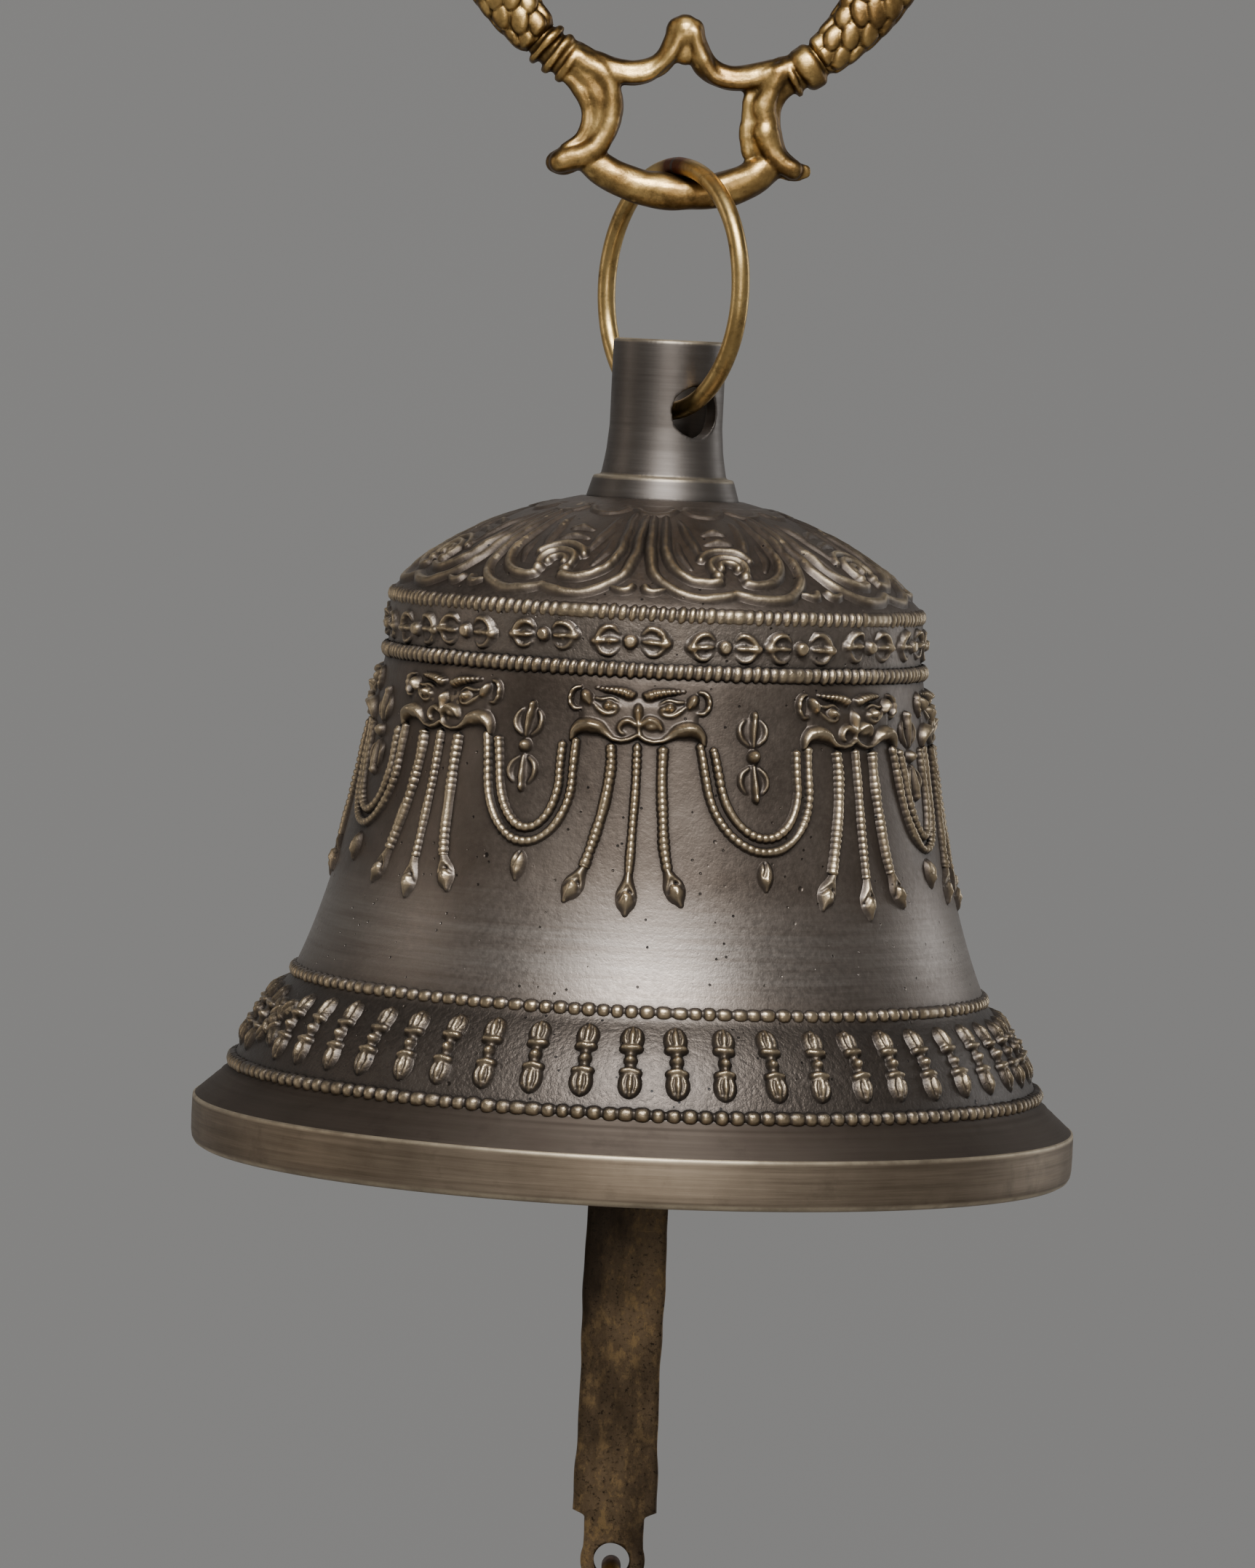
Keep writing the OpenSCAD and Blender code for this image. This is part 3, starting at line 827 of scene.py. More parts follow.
def bud_field(U, V):
    """Bud at the foot of a strand: neck, two folded calyx lips and a kernel."""
    body = merge(blob(U, V, 0, -0.5, 1.85, 2.7, 1.4),
                 curve_stroke(U, V, [(0, 4.2), (0, 2.4), (0, 0.6)], [0.5, 0.85, 1.5], [0.8, 1.0, 1.2]),
                 curve_stroke(U, V, [(0, -1.6), (0.05, -3.3)], [1.25, 0.5], [1.25, 0.7]))
    lips = np.maximum(groove(U, V, [(0.0, 1.2), (-0.75, 0.1), (-1.3, -0.9)], 0.34, 0.5),
                      groove(U, V, [(0.1, 1.2), (0.8, 0.15), (1.3, -0.75)], 0.34, 0.5))
    hollow = np.clip(blob(U, V, 0.3, 0.35, 0.7, 0.5, 0.6), 0, 1)
    kernel = merge(blob(U, V, 0.05, -1.3, 0.95, 1.5, 1.55), blob(U, V, 0.05, -0.4, 0.5, 0.8, 1.2))
    return merge(body - lips - hollow, kernel, soft=0.06)


def small_bud_field(U, V):
    """Drop at the lowest point of a swag."""
    body = merge(blob(U, V, 0, 0, 1.55, 2.5, 1.45), curve_stroke(U, V, [(0, -1.0), (0, -2.5)], [1.1, 0.45],
            [1.1, 0.6]))
    crease = groove(U, V, [(-0.05, 2.0), (-0.15, 0.9), (-0.5, -0.2)], 0.32, 0.65)
    return merge(body - crease, blob(U, V, 0.1, -1.0, 0.8, 1.1, 1.5), soft=0.06)


LIP_U = [0.0, 1.3, 2.7, 4.3, 5.6, 6.6, 8.0, 9.6, 10.6, 11.2, 12.5]
LIP_V = [-1.75, -2.5, -2.8, -2.55, -1.9, -1.45, -1.4, -1.75, -2.3, -3.0, -5.0]


def step_up(x):
    """Smooth step from 0 to 1."""
    x = np.clip(x, 0, 1)
    return x * x * (3 - 2 * x)


def comb(phase, depth):
    """Thin grooves once per unit of phase."""
    return depth * np.exp(-(((phase % 1) - 0.5) / 0.17) ** 2)


def mask_field(U, V):
    """Face of the glory mask: combed brows, ball eyes, ear curls, scrolled nose and moustache lip."""
    A = np.abs(U)
    edge = np.interp(A, LIP_U, LIP_V)
    cheeks = 0.34 * step_up((V - edge) / 0.5) * step_up((10.6 - A) / 1.6) * step_up((5.6 - V) / 2.5) - 0.06
    lip = np.stack([[-u for u in LIP_U[6:0:-1]] + LIP_U[:7], np.array(LIP_V[6:0:-1] + LIP_V[:7]) + 0.32], -1)
    parts = [cheeks, stroke(U, V, lip, 0.42, 0.9)]
    for side in (1, -1):
        W = U * side
        brow = curve_stroke(W, V, [(0.9, 5.35), (1.7, 5.25), (2.6, 5.6), (4.2, 5.9), (5.8, 6.05), (7.4, 6.2)],
                            [0.6, 1.0, 0.95, 0.8, 0.62, 0.35], [0.8, 1.45, 1.35, 1.1, 0.85, 0.4])
        brow = brow - comb((W + 0.45 * V) / 0.84, 0.5) * step_up((brow - 0.1) / 0.3)
        parts.append(brow)
        # eye ball, its socket and the strand to the temple leaf
        parts.append(blob(W, V, 5.0, 3.2, 1.05, 0.95, 1.6))
        parts.append(blob(W, V, 4.0, 3.0, 0.75, 0.7, 1.0))
        parts.append(curve_stroke(W, V, [(3.3, 2.9), (4.1, 2.1), (5.4, 1.95), (6.7, 2.7), (7.6, 3.5)],
                                  [0.32, 0.42, 0.5, 0.5, 0.4], [0.5, 0.75, 0.85, 0.85, 0.6]))
        parts.append(curve_stroke(W, V, [(3.4, 3.9), (4.7, 4.55), (6.2, 4.3), (7.3, 4.4)],
                                  [0.3, 0.42, 0.45, 0.4], [0.4, 0.7, 0.75, 0.6]))
        parts.append(blob(W, V, 8.75, 4.45, 1.0, 1.6, 1.45, turn=-30))
        parts.append(curve_stroke(W, V, [(8.2, 3.5), (8.8, 4.6), (9.1, 5.4)], 0.38, [1.2, 1.6, 1.1]))
        ear = curve_stroke(W, V, [(9.9, 6.2), (11.0, 5.9), (11.6, 4.7), (11.5, 3.4), (10.8, 2.6), (9.8, 2.6)],
                           [0.35, 0.5, 0.55, 0.55, 0.5, 0.4], [0.6, 0.95, 1.0, 0.9, 0.75, 0.5])
        parts.append(ear - comb(V / 1.1, 0.22) * (ear > 0.3))
        lobe = curve_stroke(W, V, [(11.1, -2.6), (10.7, -1.3), (9.6, -0.35), (8.1, -0.1), (6.7, -0.4),
                                   (5.5, -1.2), (4.3, -2.0)], [0.5, 0.85, 1.25, 1.35, 1.2, 0.7, 0.4],
                            [0.7, 1.2, 1.65, 1.75, 1.45, 0.95, 0.7])
        lobe = lobe - comb((0.9 * W + 0.35 * V) / 0.5, 0.14) * step_up((lobe - 0.5) / 0.4)
        parts.append(np.where(V > np.interp(np.abs(W), LIP_U, LIP_V) - 0.15, lobe, -0.3))
    # nose: bridge, a curled nostril on one side and a full one on the other
    parts.append(blob(U, V, -0.1, 2.5, 0.8, 1.45, 1.7))
    parts.append(curve_stroke(U, V, [(-0.1, 1.9), (0.0, 0.9), (0.1, 0.0)], [0.6, 0.46, 0.5],
                              [1.5, 1.25, 1.2]))
    parts.append(curve_stroke(U, V, [(-0.3, 0.2), (-1.6, 0.85), (-2.7, 0.45), (-3.2, -0.4), (-2.9, -1.15),
                                     (-2.3, -1.35)], [0.55, 0.6, 0.55, 0.5, 0.42, 0.35],
                              [1.1, 1.3, 1.2, 1.05, 0.9, 0.7]))
    parts.append(curve_stroke(U, V, [(0.4, 0.2), (1.8, 1.05), (3.1, 0.55), (3.8, -0.35)],
                              [0.6, 0.9, 0.85, 0.5], [1.1, 1.7, 1.5, 1.0]))
    parts.append(blob(U, V, 2.3, 0.0, 1.6, 0.8, 1.1))
    parts.append(curve_stroke(U, V, [(0.05, 0.0), (0.2, -0.9), (0.7, -1.7)], 0.36, [1.0, 0.85, 0.7]))
    return merge(*parts, soft=0.08)


def petal_path(points, s_mid):
    """(share of the half sector, profile length) to millimetres about a petal's centre line."""
    out = []
    for w, s in points:
        r, _ = outside_at(s)
        out.append((w * math.pi / SECTORS * float(r), s_mid - s))
    return out


def petal_field(U, V, s_mid):
    """Lotus petal: two raised borders, a leaf on either side and a scrolled heart with its eye."""
    parts = []
    for side in (1, -1):
        W = U * side
        outer = petal_path([(0.94, 9.0), (0.93, 14), (0.92, 20), (0.90, 25), (0.84, 29.6), (0.66, 33.1),
                            (0.42, 34.9), (0.18, 34.7), (0.0, 33.6)], s_mid)
        inner = petal_path([(0.70, 9.5), (0.72, 14), (0.72, 20), (0.70, 24.5), (0.61, 28.2), (0.44, 30.6),
                            (0.26, 31.3), (0.16, 30.9)], s_mid)
        parts.append(curve_stroke(W, V, outer, [0.7, 1.0, 1.2, 1.3, 1.3, 1.2],
                                  [0.25, 0.6, 0.8, 0.88, 0.88, 0.78]))
        parts.append(curve_stroke(W, V, inner, [0.6, 0.9, 1.1, 1.2, 1.2, 1.1],
                                  [0.2, 0.5, 0.78, 0.88, 0.92, 0.95]))
        u, v = petal_path([(0.16, 29.4)], s_mid)[0]
        parts.append(blob(W, V, u, v, 1.35, 1.25, 1.1))
        leaf = petal_path([(0.48, 11.5), (0.44, 15), (0.36, 20), (0.30, 24.5)], s_mid)
        parts.append(curve_stroke(W, V, leaf, [0.5, 1.0, 1.15, 0.5], [0.1, 0.45, 0.55, 0.3]))
        low_leaf = petal_path([(0.56, 20), (0.54, 24), (0.44, 27.6)], s_mid)
        parts.append(curve_stroke(W, V, low_leaf, [0.5, 0.9, 0.5], [0.1, 0.35, 0.25]))
    eye = s_mid - 27.2
    half = np.linspace(-0.35, math.pi + 0.35, 18)
    for reach, wide, high in ((1.5, 0.80, 0.9), (3.1, 0.85, 0.95)):
        arc = np.stack([reach * np.cos(half), eye + reach * 0.98 * np.sin(half)], -1)
        parts.append(stroke(U, V, arc, wide, high))
    arch = np.linspace(0.35, math.pi - 0.35, 14)
    parts.append(stroke(U, V, np.stack([4.6 * np.cos(arch), eye + 0.5 + 4.4 * np.sin(arch)], -1), 0.85, 0.8))
    for k, s in enumerate((19.6, 16.4)):
        wide = 2.3 - 0.4 * k
        parts.append(curve_stroke(U, V, [(-wide, s_mid - s - 0.4), (0, s_mid - s + 0.35),
                                         (wide, s_mid - s - 0.3)], [0.6, 1.0, 0.6], [0.35, 0.65, 0.35]))
    field = merge(*parts, soft=0.2)
    pupil = np.clip(blob(U, V, 0, eye + 0.25, 0.55, 0.45, 0.6), 0, 1)
    return field - pupil


def cloud_field(U, V):
    """Pair of cloud scrolls in the gap between two petals."""
    parts = []
    for side in (1, -1):
        W = U * side
        parts.append(curve_stroke(W, V, [(5.0, 0.6), (3.9, -0.15), (2.7, -0.65), (1.6, -0.4), (1.15, 0.5)],
                                  [0.4, 0.75, 0.95, 0.95, 0.85], [0.4, 0.85, 1.0, 1.05, 1.0]))
    return merge(*parts)


def scallop_field(U, V):
    """Round lobe of the worn little lotus round the collar."""
    from_middle = np.hypot(U * 0.78, np.minimum(V - 0.6, 0))
    lobe = 0.38 * step_up((3.1 - from_middle) / 1.5) * step_up((3.6 - np.abs(U)) / 1.4)
    rim = curve_stroke(U, V, [(-3.2, 0.2), (-2.2, -1.6), (0, -2.3), (2.2, -1.6), (3.2, 0.2)], 0.8, 0.5)
    return merge(lobe * step_up((3.4 - V) / 2) - 0.05, rim, soft=0.3)


# ---------------------------------------------------------------- strings of beads on the wall


def beaded_strands(name, strands, pitch, seed):
    """Beaded cords on the wall; strands are (theta in degrees, profile length, half width, points)."""
    across = np.array([-1.45, -1.12, -0.84, -0.5, 0.0, 0.5, 0.84, 1.12, 1.45])
    rise_up = np.array([-0.14, 0.06, 0.48, 0.87, 1.0, 0.87, 0.48, 0.06, -0.14])
    verts, faces, high, first = [], [], [], 0
    for number, (theta0, s0, half, control) in enumerate(strands):
        line = smooth_path(control, 12)
        rng = np.random.default_rng(seed + number)
        path, at = even_path(line, pitch / 7)
        bead = at / pitch + rng.uniform(0, 1)
        bead = bead + 0.12 * wobble(seed + number, 4.0, at)
        shape = np.sqrt(np.clip(1 - (2 * (bead % 1) - 1) ** 2, 0.0, 1))
        worn = np.clip(0.40 + 0.65 * wobble(seed + 50 + number, 6.0, at), 0, 1)
        width = half * (0.74 + 0.26 * shape * (1 - worn) + 0.20 * worn)
        tall = half * (0.80 + 0.52 * shape * (1 - 0.85 * worn) + 0.36 * worn)
        ends = np.clip(np.minimum(at, at[-1] - at) / 0.7 + 0.2, 0, 1)
        size = (1 + 0.08 * wobble(seed + 90 + number, 3.0, at)) * ends
        tangent = np.gradient(path, axis=0)
        tangent /= np.linalg.norm(tangent, axis=1)[:, None]
        side = np.stack([-tangent[:, 1], tangent[:, 0]], -1)
        lift = (tall * size)[:, None] * rise_up[None]
        reach = (width * size)[:, None] * across[None]
        u = path[:, :1] + side[:, :1] * reach
        v = path[:, 1:2] + side[:, 1:2] * reach
        s = s0 - v
        r, _ = outside_at(s)
        place = on_bell(math.radians(theta0) + u / r, s, lift)
        verts.append(place.reshape(-1, 3))
        faces.append(grid_faces(len(path), len(across), first=first)[:, ::-1])
        high.append((lift * 1.45).ravel())
        first += place.shape[0] * len(across)
    make_mesh(name, np.vstack(verts), np.vstack(faces), BRONZE, "bell",
              values={"relief": np.concatenate(high)}, closed=False)


def ornament():
    """All relief on the bell's outside."""
    sector = 360.0 / SECTORS
    mask_s = s_at(65.0) - 0.6

    masks = Relief(0.19, 0.15)
    upright = Relief(0.19, 0.16)
    buds = Relief(0.19, 0.14)
    swags, pendants = [], []
    r_here = float(outside_at(mask_s)[0])
    for k in range(SECTORS):
        turn = MASK_TURN + sector * k + MASK_DRIFT[k]
        following = MASK_TURN + sector * (k + 1) + MASK_DRIFT[(k + 1) % SECTORS]
        masks.add(mask_field, turn, mask_s, 12.8, 8.0, seed=100 + k, gain=1.25)
        between = (turn + following) / 2
        upright.add(vajra_field, between - 0.6, mask_s + 4.3, 3.4, 8.3, seed=200 + k,
                    tilt=3 * math.sin(k * 2.3), gain=1.15)
        # double swag from this mask's mouth corner to the next one's
        gap = math.radians(following - turn) * r_here / 2 - 10.6
        for wide, top, low in ((gap, -2.2, -20.3), (gap - 2.3, -2.8, -17.95)):
            drop = low - top
            half = [(wide + 0.5, 0.0), (wide + 0.25, 0.12), (wide, 0.32), (wide * 0.97, 0.50),
                    (wide * 0.86, 0.68), (wide * 0.64, 0.85), (wide * 0.33, 0.965)]
            sway = [0.0, 0.2, 0.5, 0.8, 1.0, 1.2, 1.3]
            curve = [(-u + d, top + drop * f) for (u, f), d in zip(half, sway)] + [(1.3, low)]
            curve += [(u + d, top + drop * f) for (u, f), d in list(zip(half, sway))[::-1]]
            swags.append((between, mask_s, 0.76, curve))
        buds.add(small_bud_field, between + 1.2, mask_s + 24.2, 2.2, 3.4, seed=300 + k,
                 tilt=6 * math.sin(k * 1.7))
        # three pendants under the mask
        for half, points in ((0.90, [(-4.4, -2.9), (-4.2, -7), (-4.9, -13), (-6.2, -18.5), (-7.9, -24.4)]),
                             (0.74, [(0, -2.6), (0.1, -10), (-0.05, -17), (-0.2, -25.2)]),
                             (0.88, [(4.3, -2.9), (4.4, -9), (4.9, -15), (5.4, -20), (6.3, -24.4)])):
            pendants.append((turn, mask_s, half, points))
        for seed, aside, low, tilt in ((400, -9.9, 26.8, -27), (500, -0.4, 28.2, -2), (600, 8.0, 26.6, 22)):
            buds.add(bud_field, turn + aside, mask_s + low, 2.7, 4.7, seed=seed + k, tilt=tilt)
    masks.build("mask_faces")
    upright.build("upright_vajras")
    buds.build("strand_buds")
    beaded_strands("swag_strands", swags, 1.17, 31)
    beaded_strands("pendant_strands", pendants, 1.08, 61)

    lying = Relief(0.19, 0.17)
    lying_count = 19
    middle = (s_at(46.6) + s_at(54.2)) / 2
    for k in range(lying_count):
        turn = -5.3 + 360 / lying_count * k + 0.9 * math.sin(k * 2.1)
        lying.add(lying_vajra_field, turn, middle + 0.4 * math.sin(k * 1.3), 7.6, 3.4, seed=700 + k,
                  tilt=2.5 * math.sin(k * 3.3), size=0.98 + 0.05 * math.sin(k * 4.1), shake=0.16, gain=1.15)
    lying.build("lying_vajras")

    standing = Relief(0.2, 0.13)
    band_count = 52
    low_middle = (s_at(112.4) + s_at(125.4)) / 2
    crossed = 10
    for k in range(band_count):
        turn = 360 / band_count * k - 0.8
        if k in (band_count - crossed, band_count // 2 - crossed):
            standing.add(crossed_vajra_field, turn, low_middle, 7.2, 7.2, seed=800 + k, tilt=45, size=0.92)
        else:
            standing.add(stout_vajra_field, turn + 0.3 * math.sin(k * 5.1), low_middle, 2.7, 7.2,
                         seed=800 + k, tilt=3.5 * math.sin(k * 2.7))
    standing.build("band_vajras")

    petals = [Relief(0.24, 0.24), Relief(0.24, 0.24)]
    small = Relief(0.24, 0.24)
    s_mid = 22.0
    for k in range(SECTORS):
        turn = MASK_TURN - 1.9 + sector * (k + 0.5)
        petals[k % 2].add(lambda U, V: petal_field(U, V, s_mid), turn, s_mid, 17.9, 14.6,
                          seed=900 + k, shake=0.16, gain=1.2)
        small.add(cloud_field, turn + sector / 2, 33.3, 6.0, 2.8, seed=1000 + k)
    lobes = 16
    for k in range(lobes):
        small.add(scallop_field, MASK_TURN + 360 / lobes * k, 7.6, 4.6, 4.4, seed=1100 + k)
    petals[0].build("lotus_petals_a")
    petals[1].build("lotus_petals_b")
    small.build("lotus_scrolls")


# ---------------------------------------------------------------- neck


def bell_neck():
    """Turned hollow neck with its flared collar and a rough drilled cross hole."""
    outer = [[7.3, 0.0], [9.0, 0.0], [9.45, 0.12], [9.7, 0.5], [9.7, 15], [9.9, 17.3], [10.05, 19.1],
             [10.35, 21], [10.7, 22.9], [10.85, 23.55], [11.75, 23.6], [12.05, 23.75], [12.2, 24.1],
             [13.1, 27.1], [13.2, 27.4], [13.15, 27.9]]
    inner = [[13.1, 27.9], [7.0, 27.9], [7.0, 0.4], [7.3, 0.0]]
    profile = spaced(np.array(outer + inner[1:]), 0.8)
    segments = 120
    faces = grid_faces(len(profile), segments, wrap_columns=True)
    piece = make_mesh("turned_neck", revolved(profile, segments).reshape(-1, 3), faces, NECK_METAL,
                      "bell", replaces=("bell_neck",))
    weld(piece, 0.02)
    # rough hole: a bar of uneven radius cut along the ring's direction, flared where it comes out
    sides, rings = 64, 40
    A, P = np.meshgrid(np.linspace(-14, 14, rings), round_turns(sides), indexing="ij")
    rough = 4.45 + 0.10 * wobble(77, 4.0, np.cos(P) * 4.4, np.sin(P) * 4.4, A * 0.4)
    rough = rough + 0.11 * wobble(78, 1.5, np.cos(P) * 4.4, np.sin(P) * 4.4, A * 0.5)
    rough = rough + 0.25 * np.clip((np.abs(A) - 8.9) / 1.2, 0, 1) ** 2
    centre, way = joint_mm("bell_swing")
    place = (centre + A[..., None] * way + (rough * np.cos(P))[..., None] * np.cross(way, UP)
             + (rough * np.sin(P))[..., None] * UP)
    cut(piece, place.reshape(-1, 3), rings, sides)
    fuse(piece, 0.24, 6)


def fuse(piece, voxel, rounds):
    """Remeshes a closed piece evenly and takes the sharpness off its edges."""
    remesh = piece.modifiers.new("fuse", "REMESH")
    remesh.mode = "VOXEL"
    remesh.voxel_size = voxel * MM
    remesh.use_smooth_shade = True
    soft = piece.modifiers.new("soften", "SMOOTH")
    soft.factor = 0.5
    soft.iterations = rounds
    apply_modifiers(piece)


def rebuild(mesh, change=None):
    """Changes a mesh through bmesh and turns all its faces outwards."""
    bm = bmesh.new()
    bm.from_mesh(mesh)
    if change:
        change(bm)
    bmesh.ops.recalc_face_normals(bm, faces=bm.faces)
    bm.to_mesh(mesh)
    bm.free()


def weld(piece, distance):
    """Joins points that are nearer to each other than distance."""
    rebuild(piece.data, lambda bm: bmesh.ops.remove_doubles(bm, verts=bm.verts, dist=distance * MM))


def close_ends(piece):
    """Fills the open ends of a piece."""
    def fill(bm):
        bmesh.ops.holes_fill(bm, edges=[e for e in bm.edges if e.is_boundary], sides=0)

    rebuild(piece.data, fill)


def mesh_of(name, verts, faces):
    """A mesh from points in mm and faces of any size."""
    mesh = bpy.data.meshes.new(name)
    mesh.from_pydata([tuple(v) for v in np.asarray(verts) * MM], [], faces)
    rebuild(mesh)
    return mesh


def placed(name, data):
    """A new object in the scene."""
    thing = bpy.data.objects.new(name, data)
    bpy.context.scene.collection.objects.link(thing)
    return thing


def cut(piece, verts, rings, sides):
    """Takes a closed tube of points away from a piece."""
    quads = grid_faces(rings, sides, wrap_columns=True).tolist()
    caps = [list(range(sides)), list(range((rings - 1) * sides, rings * sides))[::-1]]
    cutter = placed("cutter", mesh_of("cutter", verts, quads + caps))
    modifier = piece.modifiers.new("cut", "BOOLEAN")
    modifier.operation = "DIFFERENCE"
    modifier.object = cutter
    modifier.solver = "EXACT"
    apply_modifiers(piece)
    bpy.data.objects.remove(cutter)


def apply_modifiers(piece):
    """Makes what the modifiers show the piece's own mesh."""
    depsgraph = bpy.context.evaluated_depsgraph_get()
    mesh = bpy.data.meshes.new_from_object(piece.evaluated_get(depsgraph), depsgraph=depsgraph)
    piece.modifiers.clear()
    old = piece.data
    piece.data = mesh
    bpy.data.meshes.remove(old)


# ---------------------------------------------------------------- wire rings


def sweep_points(path, side_a, side_b, radius_a, radius_b, sides, power=1.0):
    """Rings of points about a path; side_a and side_b are the section's axes at each point."""
    phi = round_turns(sides)
    c, s = np.cos(phi), np.sin(phi)
    c = np.sign(c) * np.abs(c) ** power
    s = np.sign(s) * np.abs(s) ** power
    return (path[:, None] + side_a[:, None] * (radius_a[:, None] * c)[..., None]
            + side_b[:, None] * (radius_b[:, None] * s)[..., None])


def wire_ring(name, node_name, wire, axis, body, seed, steps=220, lump=0.0):
    """A bent and brazed wire ring in the plane across axis; wire is half its thickness."""
    low, high = box_mm(node_name)
    radius = (high[2] - low[2]) / 2 - wire
    axis = np.array(axis, dtype=float)
    axis /= np.linalg.norm(axis)
    sides = 24
    t = round_turns(steps)
    out = np.cos(t)[:, None] * UP + np.sin(t)[:, None] * np.cross(axis, UP)
    path = (low + high) / 2 + out * radius
    uneven = 1 + 0.02 * wobble(seed, 5.0, np.cos(t) * radius, np.sin(t) * radius)
    from_joint = np.minimum(t, 2 * math.pi - t) * radius
    joint = np.exp(-(from_joint / 1.4) ** 2)
    width = wire * uneven * (1 + lump * joint)
    points = sweep_points(path, out, np.repeat(axis[None], steps, 0), width, width, sides)
    near = np.exp(-(from_joint / 3.6) ** 2)
    faces = grid_faces(steps, sides, wrap_rows=True, wrap_columns=True)
    make_mesh(name, points.reshape(-1, 3), faces, RING_METAL, body, replaces=(node_name,),
              values={"braze": np.repeat(near, sides), "seam": np.repeat(joint, sides)})


def rings():
    """The two wire rings and the wire link of the clapper."""
    _, way = joint_mm("bell_swing")
    turn = math.atan2(way[0], -way[1])
    wire_ring("brazed_link_ring", "link_ring", 1.55, (math.cos(turn), math.sin(turn), 0), "ring", 41,
              lump=0.05)
    wire_ring("pull_wire_ring", "pull_ring", 1.65, (1, 0, 0), "pull", 42)
    wire_ring("clapper_wire_link", "clapper_link", 1.5, (1, 0, 0), "clapper_chain", 43, steps=120)


# ---------------------------------------------------------------- clapper


def clapper_bar():
    """Hammered flat bar with an eye at each end."""
    joint_top, joint_low = joint_mm("clapper_swing")[0], joint_mm("pull_ring_swing")[0]
    (_, _, low), (_, _, top) = box_mm("clapper_bar")
    shoulder = NECK_TOP - 203.0
    stations = 420
    z = np.linspace(top, low, stations)
    upper_hole = joint_top[2] - 1.2
    lower_hole = joint_low[2] + 1.0
    half = np.full(stations, 7.0) + 0.22 * wobble(21, 14.0, z) + 0.08 * wobble(22, 4.0, z)
    half = half + 0.25 * np.clip((z - shoulder - 4) / -6 + 1, 0, 1) * (z > shoulder)
    eye = np.sqrt(np.clip(7.6**2 - (z - upper_hole) ** 2, 0.2, None))
    half = np.where(z > upper_hole + 2.9, eye, np.maximum(half, np.where(z > upper_hole - 2.9, eye, 0)))
    tab = np.where(z < lower_hole + 2.0, np.sqrt(np.clip(5.6**2 - (z - lower_hole) ** 2, 0.15, None)), 5.2)
    tab = np.where((z < shoulder) & (z > lower_hole + 2.0), 5.2 + 0.12 * wobble(23, 3.0, z), tab)
    step = np.clip((shoulder - z) / 0.9, 0, 1)
    half = np.where(z < shoulder, half * (1 - step) + tab * step, half)
    thick = 1.6 + 0.10 * wobble(24, 9.0, z) - 0.35 * np.clip((shoulder - z) / 4, 0, 1)
    bend = 0.22 * wobble(25, 60.0, z)
    path = np.stack([bend, np.zeros(stations), z], -1)
    sides = 64
    across, through = (np.repeat([way], stations, 0) for way in ([1.0, 0, 0], [0, 1.0, 0]))
    points = sweep_points(path, across, through, half, thick, sides, power=0.32)
    X, Z = points[..., 0], points[..., 2]
    face = np.abs(points[..., 1]) > thick[:, None] * 0.7
    sign = np.sign(points[..., 1])
    dents = 0.16 * wobble(26, 5.0, X, Z) + 0.07 * wobble(27, 2.0, X, Z)
    # a shallow channel down the front, from above the mouth to just below it
    length = np.clip((Z - (NECK_TOP - 156)) / 4, 0, 1) * (Z < NECK_TOP - 100)
    channel = -0.75 * np.exp(-((X + 0.6) / 1.5) ** 2) * length
    points[..., 1] += np.where(face, sign * (dents + channel * (sign < 0)), 0)
    piece = make_mesh("hammered_bar", points.reshape(-1, 3), grid_faces(stations, sides, wrap_columns=True),
                      BAR_METAL, "clapper", replaces=("clapper_bar",))
    close_ends(piece)
    for hole_z, hole_r, seed in ((upper_hole, 3.3, 51), (lower_hole, 3.1, 52)):
        rows, around = 6, 48
        A, P = np.meshgrid(np.linspace(-4, 4, rows), round_turns(around), indexing="ij")
        rr = hole_r + 0.06 * wobble(seed, 2.0, np.cos(P) * 3, np.sin(P) * 3)
        place = np.stack([rr * np.cos(P), A, hole_z + rr * np.sin(P)], -1)
        cut(piece, place.reshape(-1, 3), rows, around)


def striking_ball():
    """The ball on the bar: a cast sphere with a belt round it and a flat collar at either end."""
    low, high = box_mm("clapper_ball")
    radius = (high[0] - low[0]) / 2
    t = np.linspace(0.0, math.pi, 90)
    R, Z = (radius - 0.5) * np.sin(t), (radius - 0.5) * np.cos(t)
    off = np.abs(Z)
    R = np.where(off < 3, np.maximum(R, radius - 0.024 * off**1.5), R)
    R = np.where((off > 14.2) & (off < radius - 0.9), np.maximum(R, 9.4 - 0.3 * (off - 14.2)), R)
    depth = NECK_TOP - ((low[2] + high[2]) / 2 + Z)
    turns = 120
    points = revolved(np.stack([np.maximum(R, 0.05), depth], -1), turns, ripple=0.12, seed=28)
    piece = make_mesh("striking_ball", points.reshape(-1, 3), grid_faces(len(t), turns, wrap_columns=True),
                      BAR_METAL, "clapper", replaces=("clapper_ball",))
    weld(piece, 0.02)


# ---------------------------------------------------------------- fish hanger


def rise(h):
    """Height of a point that lies h above the neck's top."""
    return NECK_TOP + h


FISH_R = 37.0
FISH_CENTRE = np.array([0.0, 0.0, rise(78.0)])
COLLAR_TURN, SNOUT_TURN = math.radians(236), math.radians(99)


